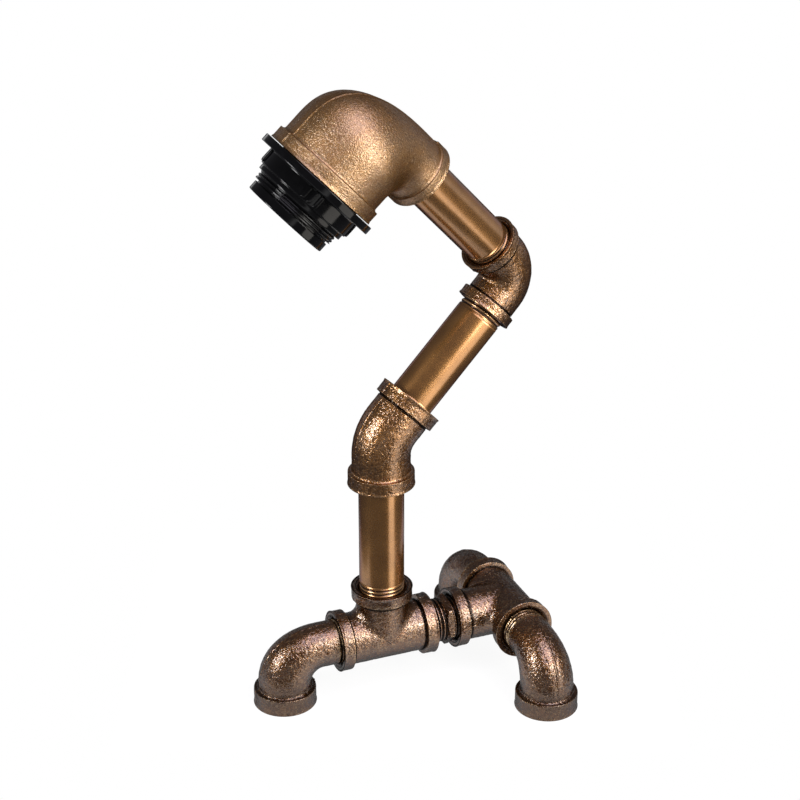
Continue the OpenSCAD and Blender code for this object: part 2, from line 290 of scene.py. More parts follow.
@dataclass(frozen=True)
class Mouth:
    """Banded female end of a casting, with its chamfered socket.

    A small fillet stands for a sunk groove behind the band, painted near black as shade, and shade_reach is
    how far that painted shade spreads on the body. Shoulder and rim are the band's rounded corners, face the
    rubbing on the mouth's face where positive and painted shade where negative.
    """

    body_r: float
    band_r: float
    band_w: float
    fillet: float
    shoulder: float = 0.45
    rim: float = 0.5
    chamfer: float = PIPE.mouth_chamfer
    face: float = 0.3
    shade_reach: float = 0.8
    socket_r: float = PIPE.socket_r
    depth: float = PIPE.socket_depth
    bore_r: float = PIPE.bore_r
    groove_below: float = 0.7
    groove_depth: float = 0.45
    run_out: float = 2.0

    def outside(self) -> list[Knot]:
        """Knots from the mouth's face to the body.

        Returns:
            The knots, with radii as offsets from the body's.
        """
        step = self.band_r - self.body_r
        if self.fillet < self.groove_below:
            # Painted shade: the sunk groove behind the band is near black, and so is the body up to
            # shade_reach when that is over 1.
            root = [
                Knot(self.band_w + 0.05, -self.groove_depth, 0.1, wear=-1.0, grain=0),
                Knot(self.band_w + 0.5, -self.groove_depth, 0.1, wear=-1.0, grain=0),
                Knot(self.band_w + 0.65, 0, 0.1),
                Knot(self.band_w + self.shade_reach, 0, wear=-0.9 if self.shade_reach > 1 else 0),
            ]
        else:
            root = [Knot(self.band_w + 0.05, 0, self.fillet)]
        return [
            # Painted shade at the chamfer where the pipe enters the socket; a negative face paints shade on
            # the face too.
            Knot(0, self.socket_r + self.chamfer + 0.05 - self.body_r, wear=-0.8, grain=0),
            Knot(0, step - 0.5, wear=self.face, grain=0),
            Knot(0, step, self.rim, wear=0.4, grain=0),
            Knot(1.2, step),
            Knot(self.band_w, step, self.shoulder, wear=0.7),
            *root,
            Knot(self.band_w + self.fillet + self.run_out, 0),
        ]

    def inside(self) -> list[Knot]:
        """Knots from the mouth's face down the socket.

        Returns:
            The knots, with the real radii.
        """
        return [
            Knot(0, self.socket_r + self.chamfer, grain=0),
            Knot(self.chamfer, self.socket_r, grain=0),
            Knot(self.depth, self.socket_r, grain=0),
            Knot(self.depth + 0.02, self.bore_r, grain=0),
        ]


def from_far_end(knots: list[Knot], length: float) -> list[Knot]:
    """The same knots, in the same order, on the other end of a path of the given length."""
    return [replace(knot, s=length - knot.s) for knot in knots]


# Paths


@dataclass(frozen=True)
class Rings:
    """Frames of the rows: centre, the two directions that span each ring, and the body's radius there."""

    centre: np.ndarray
    out: np.ndarray
    side: np.ndarray
    body: np.ndarray


class Path:
    """A way along which rings are strung, from s = 0 to its length."""

    length: float

    def rings(self, s: np.ndarray) -> Rings:
        """Frames of the rings at the places s, as each kind of path gives them."""
        raise NotImplementedError


@dataclass(frozen=True)
class StraightPath(Path):
    """Straight way up Z that starts at z = start."""

    start: float
    length: float
    body_r: float

    def rings(self, s: np.ndarray) -> Rings:
        """Centres climb Z; the rings lie in planes of constant z.

        Args:
            s: places along the path.

        Returns:
            A frame for each.
        """
        flat = np.zeros_like(s)
        one = np.ones_like(s)
        return Rings(
            np.stack([flat, flat, self.start + s], 1),
            np.stack([one, flat, flat], 1),
            np.stack([flat, one, flat], 1),
            np.full_like(s, self.body_r),
        )


@dataclass(frozen=True)
class RoundBend(Path):
    """Elbow's way: straight up Z, round an arc towards X, and straight on. The axes cross at the origin."""

    turn_deg: float
    reach: float
    bend_r: float
    body_r: float

    @property
    def leg(self) -> float:
        """Straight length before and after the arc."""
        return self.reach - self.bend_r * math.tan(math.radians(self.turn_deg) / 2)

    @property
    def length(self) -> float:
        """Whole length from face to face."""
        return 2 * self.leg + self.bend_r * math.radians(self.turn_deg)

    def rings(self, s: np.ndarray) -> Rings:
        """On the arc the centre is (R - R cos f, 0, R sin f - R tan(turn / 2)) with f = (s - leg) / R.

        Args:
            s: places along the path.

        Returns:
            A frame for each.
        """
        full = math.radians(self.turn_deg)
        f = np.clip((s - self.leg) / self.bend_r, 0, full)
        extra = np.maximum(s - self.leg - self.bend_r * full, 0)
        short = np.maximum(self.leg - s, 0)
        x = self.bend_r * (1 - np.cos(f)) + extra * np.sin(full)
        z = self.bend_r * (np.sin(f) - math.tan(full / 2)) + extra * np.cos(full) - short
        flat = np.zeros_like(s)
        return Rings(
            np.stack([x, flat, z], 1),
            np.stack([-np.cos(f), flat, np.sin(f)], 1),
            np.stack([flat, np.ones_like(s), flat], 1),
            np.full_like(s, self.body_r),
        )


@dataclass(frozen=True)
class FanBend(Path):
    """Cast reducing bend: from a neck down -Z to a wider mouth towards -X, the axes crossing at the origin.

    The rings fan out about the inner corner. At fan angle a the ring spans from the fillet to the reach
    ((cos a / (2 neck + fillet))^p + (sin a / (2 mouth + fillet))^p)^(-1/p), a superellipse.
    """

    neck_r: float
    mouth_r: float
    power: float
    fillet: float
    neck_reach: float
    mouth_reach: float
    stretch: float = 1.06

    @property
    def neck_leg(self) -> float:
        """Straight length of the neck."""
        return self.neck_reach - self.mouth_r - self.fillet

    @property
    def mouth_leg(self) -> float:
        """Straight length of the mouth."""
        return self.mouth_reach - self.neck_r - self.fillet

    @property
    def arc(self) -> float:
        """Length given to the fan: about that of its outer curve."""
        return (self.neck_r + self.mouth_r + self.fillet) * math.pi / 2 * self.stretch

    @property
    def length(self) -> float:
        """Whole length from the neck's end to the mouth's face."""
        return self.neck_leg + self.arc + self.mouth_leg

    def rings(self, s: np.ndarray) -> Rings:
        """Centre = corner + U (near + far) / 2 with U = (cos a, 0, sin a), carried straight on at both ends.

        Args:
            s: places along the path.

        Returns:
            A frame for each.
        """
        a = np.clip((s - self.neck_leg) / self.arc, 0, 1) * math.pi / 2
        far = (
            (np.cos(a) / (2 * self.neck_r + self.fillet)) ** self.power
            + (np.sin(a) / (2 * self.mouth_r + self.fillet)) ** self.power
        ) ** (-1 / self.power)
        mid = (self.fillet + far) / 2
        flat = np.zeros_like(s)
        out = np.stack([np.cos(a), flat, np.sin(a)], 1)
        centre = out * mid[:, None] - np.array([self.neck_r + self.fillet, 0, self.mouth_r + self.fillet])
        centre[:, 2] -= np.maximum(self.neck_leg - s, 0)
        centre[:, 0] -= np.maximum(s - self.neck_leg - self.arc, 0)
        side = np.stack([flat, np.ones_like(s), flat], 1)
        return Rings(centre, out, side, (far - self.fillet) / 2)


# Skins


def ring_angles(count: int, crowd: float = 0.0) -> np.ndarray:
    """Angles round a ring, closer together at the seams 0 and pi: f - crowd sin(2f) / 2 for even f."""
    even = np.arange(count) * 2 * math.pi / count
    return even - crowd * np.sin(2 * even) / 2


def ring_points(rings: Rings, radius: np.ndarray, theta: np.ndarray) -> np.ndarray:
    """Points centre + radius (cos theta out + sin theta side), one row for each ring.

    Args:
        rings: n frames.
        radius: array (n, 1) or (n, m).
        theta: m angles.

    Returns:
        Array (n, m, 3).
    """
    cos, sin = np.cos(theta)[None, :, None], np.sin(theta)[None, :, None]
    spoke = cos * rings.out[:, None] + sin * rings.side[:, None]
    return rings.centre[:, None] + np.asarray(radius)[..., None] * spoke


def grid_quads(rows: int, columns: int, closed_rows: bool) -> np.ndarray:
    """Quads of a grid whose columns close, and whose rows do if asked.

    Args:
        rows: number of rows.
        columns: points in each row.
        closed_rows: whether the first row follows the last.

    Returns:
        Array (quads, 4) of point indices.
    """
    last = rows if closed_rows else rows - 1
    i = np.arange(last)[:, None]
    j = np.arange(columns)[None]
    up = (i + 1) % rows
    right = (j + 1) % columns
    quads = np.stack([i * columns + j, i * columns + right, up * columns + right, up * columns + j], -1)
    return quads.reshape(-1, 4)


def signed_volume(points: np.ndarray, quads: np.ndarray) -> float:
    """Volume that the quads enclose: a sixth of the sum of a . (b x c) over both triangles of each.

    Args:
        points: array (n, 3).
        quads: array (m, 4) of point indices.

    Returns:
        The volume, negative where the quads face inwards.
    """
    a, b, c, d = (points[quads[:, k]] for k in range(4))
    one = np.einsum("ij,ij->i", a, np.cross(b, c))
    two = np.einsum("ij,ij->i", a, np.cross(c, d))
    return float((one + two).sum() / 6)


def grid_normals(points: np.ndarray) -> np.ndarray:
    """Unit normals of a closed grid, from the differences of its neighbours in both directions.

    Args:
        points: array (n, m, 3).

    Returns:
        Array (n, m, 3).
    """
    across = np.roll(points, -1, axis=1) - np.roll(points, 1, axis=1)
    along = np.roll(points, -1, axis=0) - np.roll(points, 1, axis=0)
    normal = np.cross(across, along)
    return normal / np.maximum(np.linalg.norm(normal, axis=-1, keepdims=True), 1e-12)


@dataclass
class Skin:
    """Shells of one piece, gathered before they become a mesh."""

    points: list[np.ndarray] = field(default_factory=list)
    quads: list[np.ndarray] = field(default_factory=list)
    relief: list[np.ndarray] = field(default_factory=list)
    wear: list[np.ndarray] = field(default_factory=list)

    def add(self, points: np.ndarray, quads: np.ndarray, relief: np.ndarray, wear: np.ndarray) -> None:
        """Takes a shell, turned so that it faces outwards.

        Args:
            points: array (..., 3).
            quads: array (m, 4) of point indices.
            relief: relief at each point.
            wear: rubbed colour where positive, painted shade where negative, at each point.
        """
        flat = points.reshape(-1, 3)
        if signed_volume(flat, quads) < 0:
            quads = quads[:, ::-1]
        start = sum(len(p) for p in self.points)
        self.points.append(flat)
        self.quads.append(quads + start)
        self.relief.append(relief.reshape(-1))
        self.wear.append(wear.reshape(-1))

    def tube(self, points: np.ndarray, relief: np.ndarray, wear: np.ndarray) -> None:
        """Takes a smooth shell that closes both ways, with relief and wear for its rows or points."""
        size, quads = points.shape[:2], grid_quads(*points.shape[:2], True)
        self.add(points, quads, np.broadcast_to(relief, size), np.broadcast_to(wear, size))

    def loop(
        self,
        points: np.ndarray,
        grain: np.ndarray,
        wear: np.ndarray,
        relief: Relief,
        ridge: np.ndarray,
    ) -> None:
        """Takes a shell that closes both ways, with the casting's relief pressed inwards along its normals.

        Args:
            points: array (n, m, 3); the first row follows the last.
            grain: weight of the relief in each row.
            wear: rubbed colour where positive, painted shade where negative, in each row (n) or at each point
                (n, m).
            relief: the casting's skin.
            ridge: height of the parting seam (n, m).
        """
        n, m = points.shape[:2]
        quads = grid_quads(n, m, True)
        sign = 1.0 if signed_volume(points.reshape(-1, 3), quads) > 0 else -1.0
        bumps = relief.field(points) * grain[:, None]
        push = (bumps - grain[:, None]) * relief.height
        push = push + (ridge - relief.seam) * grain[:, None]
        points = points + grid_normals(points) * sign * push[..., None]
        self.add(points, quads, bumps, np.broadcast_to(wear.reshape(n, -1), (n, m)))

    def lathe(self, knots: list[Knot], start: float, columns: int, step: float) -> None:
        """Takes a turned ring: a closed profile carried round Z.

        Args:
            knots: the profile; the first knot follows the last.
            start: height of its place 0.
            columns: points round each ring.
            step: distance between rows.
        """
        rows = profile(knots + [knots[0]], step)
        rings = StraightPath(start, 1.0, 0.0).rings(rows.s[:-1])
        points = ring_points(rings, rows.r[:-1, None], ring_angles(columns))
        self.tube(points, np.zeros((1, 1)), rows.wear[:-1, None])

    def pill(self, centre: np.ndarray, half: np.ndarray, power: float, spin: np.ndarray) -> None:
        """Takes a rounded box.

        Formula: with s(v) = sign(v) |v|^(2 / power), a point is half x (s(cos b) s(cos a), s(cos b) s(sin a),
        s(sin b)) for a round the box and b from pole to pole; a higher power gives flatter sides.

        Args:
            centre: middle of the box.
            half: half lengths along its axes.
            power: squareness.
            spin: 3 x 3 matrix of its axes, as columns.
        """
        count, pole_gap = 18, 0.02
        a = np.arange(2 * count) * math.pi / count
        b = np.linspace(-math.pi / 2, math.pi / 2, count)
        b[0], b[-1] = -math.pi / 2 + pole_gap, math.pi / 2 - pole_gap

        def curve(v: np.ndarray) -> np.ndarray:
            """Signed power of a sine or cosine."""
            return np.sign(v) * np.abs(v) ** (2 / power)

        x = curve(np.cos(b))[:, None] * curve(np.cos(a))[None]
        y = curve(np.cos(b))[:, None] * curve(np.sin(a))[None]
        z = np.broadcast_to(curve(np.sin(b))[:, None], x.shape)
        grid = np.stack([x, y, z], -1) * half @ spin.T + centre
        n, m = x.shape
        poles = np.stack([grid[0].mean(0), grid[-1].mean(0)])
        points = np.concatenate([grid.reshape(-1, 3), poles])
        quads = [grid_quads(n, m, False)]
        j = np.arange(0, m, 2)
        low, high = n * m, n * m + 1
        top = (n - 1) * m
        quads.append(np.stack([np.full_like(j, low), (j + 2) % m, j + 1, j], -1))
        quads.append(np.stack([np.full_like(j, high), top + j, top + j + 1, top + (j + 2) % m], -1))
        self.add(points, np.concatenate(quads), np.zeros(len(points)), np.zeros(len(points)))

    def place(self, matrix: np.ndarray) -> None:
        """Moves every shell and keeps its faces outwards.

        Args:
            matrix: 4 x 4 placement in millimetres.
        """
        for i, p in enumerate(self.points):
            self.points[i] = p @ matrix[:3, :3].T + matrix[:3, 3]
            if np.linalg.det(matrix[:3, :3]) < 0:
                self.quads[i] = self.quads[i][:, ::-1]

    def piece(
        self, name: str, matrix: np.ndarray, body: str, node: str, finish: bpy.types.Material
    ) -> bpy.types.Object:
        """Writes the mesh and makes it stand for its node.

        Args:
            name: the piece's name.
            matrix: 4 x 4 placement in millimetres.
            body: body that it rides on.
            node: node that it replaces.
            finish: its material.

        Returns:
            The new object.
        """
        self.place(matrix)
        points = np.concatenate(self.points) * MM
        quads = np.concatenate(self.quads)
        mesh = bpy.data.meshes.new(name)
        mesh.vertices.add(len(points))
        mesh.vertices.foreach_set("co", points.astype(np.float32).ravel())
        mesh.loops.add(quads.size)
        mesh.loops.foreach_set("vertex_index", quads.astype(np.int32).ravel())
        mesh.polygons.add(len(quads))
        mesh.polygons.foreach_set("loop_start", np.arange(0, quads.size, 4, dtype=np.int32))
        mesh.update(calc_edges=True)
        mesh.validate()
        mesh.shade_smooth()
        for key, values in (("relief", self.relief), ("wear", self.wear)):
            layer = mesh.attributes.new(key, "FLOAT", "POINT")
            layer.data.foreach_set("value", np.concatenate(values).astype(np.float32))
        mesh.materials.append(finish)
        thing = bpy.data.objects.new(name, mesh)
        bpy.context.scene.collection.objects.link(thing)
        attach(thing, body)
        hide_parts(node)
        LOG.info("%s: %d faces, rides on %s", name, len(quads), body)
        return thing


def thread_cut(
    s: np.ndarray, theta: np.ndarray, pitch: float, depth: float, sharp: float = 1.0
) -> np.ndarray:
    """Thread's cut at row s and angle theta: depth (1 - |sin(pi (s / pitch - theta / 2 pi))|^sharp)."""
    phase = s[:, None] / pitch - theta[None] / (2 * math.pi)
    return depth * (1 - np.abs(np.sin(math.pi * phase)) ** sharp)


def ease(value: np.ndarray, low: float, high: float) -> np.ndarray:
    """Smooth step from 0 at low to 1 at high."""
    t = np.clip((value - low) / (high - low), 0, 1)
    return t * t * (3 - 2 * t)


# Finishes


class Kind(Enum):
    """Kinds of node: Blender's type, its settings, inputs in the order of the values, and output in use."""

    PLACE = ("ShaderNodeTexCoord", {}, (), "Object")
    NORMAL = ("ShaderNodeTexCoord", {}, (), "Normal")
    DIRECTION = ("ShaderNodeTexCoord", {}, (), "Generated")
    RELIEF = ("ShaderNodeAttribute", {"attribute_name": "relief"}, (), "Fac")
    WEAR = ("ShaderNodeAttribute", {"attribute_name": "wear"}, (), "Fac")
    UPWARD = ("ShaderNodeSeparateXYZ", {}, (0,), 2)
    NOISE = ("ShaderNodeTexNoise", {}, ("Vector", "Scale", "Detail", "Distortion"), 0)
    EDGE_ON = ("ShaderNodeLayerWeight", {}, ("Blend",), "Facing")
    SPAN = ("ShaderNodeMapRange", {"interpolation_type": "SMOOTHSTEP"}, (0, 1, 2, 3, 4), 0)
    PRODUCT = ("ShaderNodeMath", {"operation": "MULTIPLY"}, (0, 1), 0)
    PRODUCT_PLUS = ("ShaderNodeMath", {"operation": "MULTIPLY_ADD"}, (0, 1, 2), 0)
    LARGER = ("ShaderNodeMath", {"operation": "MAXIMUM"}, (0, 1), 0)
    COLOUR = ("ShaderNodeMix", {"data_type": "RGBA"}, (0, 6, 7), 2)
    BUMP = ("ShaderNodeBump", {}, ("Strength", "Distance", "Height"), 0)
    EYE = ("ShaderNodeLightPath", {}, (), "Is Camera Ray")
    GLOSS = ("ShaderNodeLightPath", {}, (), "Is Glossy Ray")
    GLASS = ("ShaderNodeLightPath", {}, (), "Is Transmission Ray")
    COATED = ("ShaderNodeBsdfPrincipled", {}, (), 0)
    DIFFUSE = ("ShaderNodeBsdfDiffuse", {}, ("Color",), 0)
    GLOW = ("ShaderNodeEmission", {}, ("Color", "Strength"), 0)
    BLEND = ("ShaderNodeMixShader", {}, (0, 1, 2), 0)
    SKY = ("ShaderNodeBackground", {}, ("Color", "Strength"), 0)
    SURFACE = ("ShaderNodeOutputMaterial", {}, ("Surface",), None)
    WORLD = ("ShaderNodeOutputWorld", {}, ("Surface",), None)


Socket = bpy.types.NodeSocket | None
Value = bpy.types.NodeSocket | float | tuple[float, float, float, float]
WHITE = (1.0, 1.0, 1.0, 1.0)


def linear(code: str) -> tuple[float, float, float, float]:
    """Linear colour of an sRGB code.

    Args:
        code: hex code, such as "#9A6830".

    Returns:
        Red, green, blue and alpha 1.
    """
    parts = [int(code[i : i + 2], 16) / 255 for i in (1, 3, 5)]
    red, green, blue = (c / 12.92 if c <= 0.04045 else ((c + 0.055) / 1.055) ** 2.4 for c in parts)
    return (red, green, blue, 1.0)


def per_mm(size: float) -> float:
    """Scale of a texture whose cells are to be the given size in millimetres, on coordinates in metres."""
    return 1.0 / (size * MM)


def add_node(
    tree: bpy.types.NodeTree, kind: Kind, *values: Value, named: dict[str, Value] | None = None
) -> Socket:
    """Adds a node with its settings, socket values and links.

    Args:
        tree: the material's or world's node tree.
        kind: the kind of node.
        values: for the kind's inputs in order, a value or the output socket that feeds it.
        named: the same for inputs by name, as a shader with many of them needs.

    Returns:
        The output in use, or None for the last node of a tree.
    """
    blender_type, settings, inputs, output = kind.value
    node = tree.nodes.new(blender_type)
    for key, value in settings.items():
        setattr(node, key, value)
    for key, value in (*zip(inputs, values), *(named or {}).items()):
        if isinstance(value, bpy.types.NodeSocket):
            tree.links.new(value, node.inputs[key])
        else:
            node.inputs[key].default_value = value
    return None if output is None else node.outputs[output]


def layered(tree: bpy.types.NodeTree, ground: str, *layers: tuple[Value, str]) -> Socket:
    """Colour of a ground with layers laid over it one after the other.

    Args:
        tree: the material's node tree.
        ground: hex code of the ground.
        layers: share and hex code of each layer.

    Returns:
        The colour's socket.
    """
    colour = linear(ground)
    for share, code in layers:
        colour = add_node(tree, Kind.COLOUR, share, colour, linear(code))
    return colour


def coat_dimmed_edge_on(tree: bpy.types.NodeTree, weight: float) -> Socket:
    """Coat weight that falls to a quarter where the surface is seen edge on, which paints the outline darker
    in place of its reflection.
    """
    return add_node(tree, Kind.SPAN, add_node(tree, Kind.EDGE_ON, 0.5), 0.35, 0.85, weight, weight * 0.25)


@dataclass(frozen=True)
class Finish:
    """A finish; each kind of it builds its own nodes."""

    name: str

    def shader(self, tree: bpy.types.NodeTree) -> Socket:
        """Builds the finish's nodes and gives its shader."""
        raise NotImplementedError

    def material(self) -> bpy.types.Material:
        """Makes the material of this finish.

        Returns:
            The new material.
        """
        material = bpy.data.materials.new(self.name)
        material.use_nodes = True
        material.node_tree.nodes.clear()
        add_node(material.node_tree, Kind.SURFACE, self.shader(material.node_tree))
        return material


@dataclass(frozen=True)
class AntiqueBronze(Finish):
    """Iron casting sprayed with a brown metallic lacquer, rubbed on its edges and clear coated.

    The sand mould leaves pebbles that catch small glints; the lacquer pools dark in the dips between them.
    Undersides and what stands near the table are painted darker as shade, with less coat. Sizes end in _mm.
    Pebble_shade, speckle and painted_underside_shade are the shares of the colours that the pebbles, the grit
    and the painted shade underneath take; grit_share is the grit's part of the bump.
    """

    name: str = "antique_bronze_casting"
    # Dark patina of the dips and blotches, and also the colour of the painted shade underneath.
    body: str = "#9A6830"
    patina_and_shade: str = "#24140A"
    rubbed: str = "#DCB789"
    # Near black painted shade where wear is negative: grooves, socket chamfers, thread roots, dark mouth
    # faces.
    hollow: str = "#120D0A"
    edge_tint: str = "#2A211A"
    metallic: float = 0.92
    roughness: float = 0.3
    coat_roughness: float = 0.11
    coat_ior: float = 1.75
    blotch_mm: float = 7.0
    pebble_mm: float = 1.15
    pebble_swirl: float = 1.2
    pebble_depth_mm: float = 0.24
    pebble_shade: float = 0.35
    grit_mm: float = 0.6
    grit_share: float = 0.15
    speckle: float = 0.06
    # Share of painted shade on undersides and near the table.
    painted_underside_shade: float = 0.45
    painted_low_shade_mm: tuple[float, float] = (4.0, 30.0)

    def shader(self, tree: bpy.types.NodeTree) -> Socket:
        """Lays the colours over each other, presses in pebbles and grit, and thins the coat at the rim.

        Painted shade falls where the normal points down and on what stands within painted_low_shade_mm of the
        table.

        Args:
            tree: the material's node tree.

        Returns:
            The shader's socket.
        """
        add = partial(add_node, tree)
        here, relief, wear = add(Kind.PLACE), add(Kind.RELIEF), add(Kind.WEAR)
        blotch = add(Kind.NOISE, here, per_mm(self.blotch_mm), 3.0)
        grit = add(Kind.NOISE, here, per_mm(self.grit_mm), 2.0)
        pebble = add(Kind.NOISE, here, per_mm(self.pebble_mm), 1.0, self.pebble_swirl)
        low, high = (height * MM for height in self.painted_low_shade_mm)
        # Painted shade: darker where the normal points down and on what stands low near the table.
        painted_under_shade = add(
            Kind.LARGER,
            add(Kind.SPAN, add(Kind.UPWARD, add(Kind.NORMAL)), -0.5, 0.1, self.painted_underside_shade, 0.0),
            add(Kind.SPAN, add(Kind.UPWARD, here), low, high, self.painted_underside_shade * 0.9, 0.0),
        )
        rub = add(Kind.PRODUCT, wear, add(Kind.SPAN, pebble, 0.35, 0.65, 0.1, 0.65))
        base = layered(
            tree,
            self.body,
            (add(Kind.SPAN, blotch, 0.35, 0.65, 0.0, 0.35), self.patina_and_shade),
            (add(Kind.SPAN, relief, -0.7, 0.0, 0.45, 0.0), self.patina_and_shade),
            (add(Kind.SPAN, pebble, 0.3, 0.5, self.pebble_shade, 0.0), self.patina_and_shade),
            (add(Kind.SPAN, pebble, 0.5, 0.68, 0.0, self.pebble_shade * 0.55), self.rubbed),
            (add(Kind.SPAN, grit, 0.5, 0.72, 0.0, self.speckle), self.rubbed),
            (rub, self.rubbed),
            (painted_under_shade, self.patina_and_shade),
            # Painted shade: near black where wear is negative.
            (add(Kind.SPAN, wear, -0.6, -0.1, 0.9, 0.0), self.hollow),
        )
        depth = self.pebble_depth_mm * MM
        bump = add(Kind.BUMP, 1.0, depth, add(Kind.PRODUCT_PLUS, grit, self.grit_share, pebble))
        coat = add(Kind.PRODUCT, coat_dimmed_edge_on(tree, 1.0), add(Kind.SPAN, wear, -0.6, -0.1, 0.15, 1.0))
        return add(
            Kind.COATED,
            named={
                "Base Color": base,
                "Metallic": self.metallic,
                "Roughness": add(Kind.SPAN, grit, 0.3, 0.75, self.roughness + 0.06, self.roughness - 0.06),
                "Specular Tint": linear(self.edge_tint),
                "Coat Weight": add(Kind.PRODUCT, coat, add(Kind.SPAN, painted_under_shade, 0.0, 1.0, 1.0, 0.4)),
                "Coat Roughness": self.coat_roughness,
                "Coat IOR": self.coat_ior,
                "Coat Normal": bump,
                "Normal": bump,
            },
        )


@dataclass(frozen=True)
class BronzeLacqueredPipe(Finish):
    """Steel pipe sprayed with the same lacquer: smooth, satin, with a fine flake and long soft streaks."""

    name: str = "bronze_lacquered_pipe"
    body: str = "#AE7B43"
    shade: str = "#8A5E2F"
    flake: str = "#C79A66"
    crest: str = "#D2AB7C"
    # Painted shade in the roots of the pipe's thread.
    groove: str = "#1C120D"
    edge_tint: str = "#241A12"
    metallic: float = 0.92
    roughness: float = 0.28
    coat_roughness: float = 0.18
    coat_ior: float = 1.6
    flake_mm: float = 0.35
    streak_mm: float = 9.0
    orange_peel_mm: float = 0.02

    def shader(self, tree: bpy.types.NodeTree) -> Socket:
        """Lays streaks, flake and bright rubbed crests over the body, and paints the thread's roots dark as
        shade.

        Args:
            tree: the material's node tree.

        Returns:
            The shader's socket.
        """
        add = partial(add_node, tree)
        here = add(Kind.PLACE)
        streak = add(Kind.NOISE, here, per_mm(self.streak_mm), 2.0)
        flake = add(Kind.NOISE, here, per_mm(self.flake_mm), 1.0)
        base = layered(
            tree,
            self.body,
            (add(Kind.SPAN, streak, 0.3, 0.7, 0.0, 0.5), self.shade),
            (add(Kind.SPAN, flake, 0.5, 0.7, 0.0, 0.22), self.flake),
            (add(Kind.WEAR), self.crest),
            (add(Kind.SPAN, add(Kind.RELIEF), -0.9, -0.2, 1.0, 0.0), self.groove),
        )
        return add(
            Kind.COATED,
            named={
                "Base Color": base,
                "Metallic": self.metallic,
                "Roughness": add(Kind.SPAN, flake, 0.3, 0.7, self.roughness + 0.04, self.roughness - 0.04),
                "Specular Tint": linear(self.edge_tint),
                "Coat Weight": coat_dimmed_edge_on(tree, 1.0),
                "Coat Roughness": self.coat_roughness,
                "Coat IOR": self.coat_ior,
                "Normal": add(Kind.BUMP, 0.12, self.orange_peel_mm * MM, flake),
            },
        )


@dataclass(frozen=True)
class BlackThermoset(Finish):
    """Pressed phenolic moulding: near black, glossy, with a faint flow mottle and dusty scuffs."""

    name: str = "black_thermoset"
    body: str = "#070708"
    scuff: str = "#1D1E1F"
    roughness: float = 0.1
    ior: float = 1.38
    flow_mm: float = 4.0
    fine_mm: float = 0.4
    depth_mm: float = 0.02

    def shader(self, tree: bpy.types.NodeTree) -> Socket:
        """Lays the mottle in colour and gloss, and scuffs on the edges.

        Args:
            tree: the material's node tree.

        Returns:
            The shader's socket.
        """
        add = partial(add_node, tree)
        here = add(Kind.PLACE)
        flow = add(Kind.NOISE, here, per_mm(self.flow_mm), 5.0)
        base = layered(
            tree,
            self.body,
            (add(Kind.SPAN, flow, 0.55, 0.75, 0.0, 0.12), self.scuff),
            (add(Kind.SPAN, add(Kind.WEAR), 0.3, 1.0, 0.0, 0.5), self.scuff),
        )
        fine = add(Kind.NOISE, here, per_mm(self.fine_mm), 2.0)
        return add(
            Kind.COATED,
            named={
                "Base Color": base,
                "Roughness": add(Kind.SPAN, flow, 0.35, 0.7, self.roughness - 0.03, self.roughness + 0.04),
                "IOR": self.ior,
                "Normal": add(Kind.BUMP, 0.1, self.depth_mm * MM, fine),
            },
        )


@dataclass(frozen=True)
class PlainFinish(Finish):
    """Finish of the small inner pieces: one ground colour, a mottle, and fine grain in the gloss."""

    body: str
    mottle: str
    metallic: float
    roughness: float
    grain_mm: float
    mottle_mm: float = 3.0
    depth_mm: float = 0.02

    def shader(self, tree: bpy.types.NodeTree) -> Socket:
        """Lays the mottle over the ground and the grain in gloss and bump.

        Args:
            tree: the material's node tree.

        Returns:
            The shader's socket.
        """
        add = partial(add_node, tree)
        here = add(Kind.PLACE)
        patch = add(Kind.NOISE, here, per_mm(self.mottle_mm), 4.0)
        grain = add(Kind.NOISE, here, per_mm(self.grain_mm), 2.0)
        base = layered(tree, self.body, (add(Kind.SPAN, patch, 0.4, 0.7, 0.0, 0.6), self.mottle))
        return add(
            Kind.COATED,
            named={
                "Base Color": base,
                "Metallic": self.metallic,
                "Roughness": add(Kind.SPAN, grain, 0.3, 0.7, self.roughness - 0.05, self.roughness + 0.08),
                "Normal": add(Kind.BUMP, 0.15, self.depth_mm * MM, grain),
            },
        )


class Look(Enum):
    """Finishes of the lamp: the arm's castings, the darker base, the golden head, and the rest."""

    ARM = AntiqueBronze()
    BASE = AntiqueBronze(
        name="dark_bronze_casting",
        body="#744A23",
        rubbed="#D6B88A",
        coat_roughness=0.06,
        pebble_shade=0.4,
        painted_underside_shade=0.65,
    )
    HEAD = AntiqueBronze(
        name="golden_bronze_casting",
        body="#A07033",
        patina_and_shade="#6A4A2A",
        rubbed="#E6C592",
        edge_tint="#4A3C2E",
        roughness=0.38,
        coat_roughness=0.22,
        coat_ior=1.85,
        pebble_mm=0.75,
        pebble_depth_mm=0.19,
        pebble_shade=0.25,
        painted_underside_shade=0.25,
        grit_mm=0.45,
        grit_share=0.8,
        speckle=0.5,
    )
    PIPE = BronzeLacqueredPipe()
    HOLDER = BlackThermoset()
    CAP = BlackThermoset(name="black_thermoset_cap", body="#101011", roughness=0.32)
    CERAMIC = PlainFinish("steatite", "#E9E6DE", "#DAD5C9", 0.0, 0.3, 0.3)
    BRASS = PlainFinish("rolled_brass", "#D9B878", "#C29B58", 1.0, 0.25, 0.2)
    ZINC = PlainFinish("zinc_plated_steel", "#C9CBCD", "#AEB1B4", 1.0, 0.3, 0.2)


# Fittings


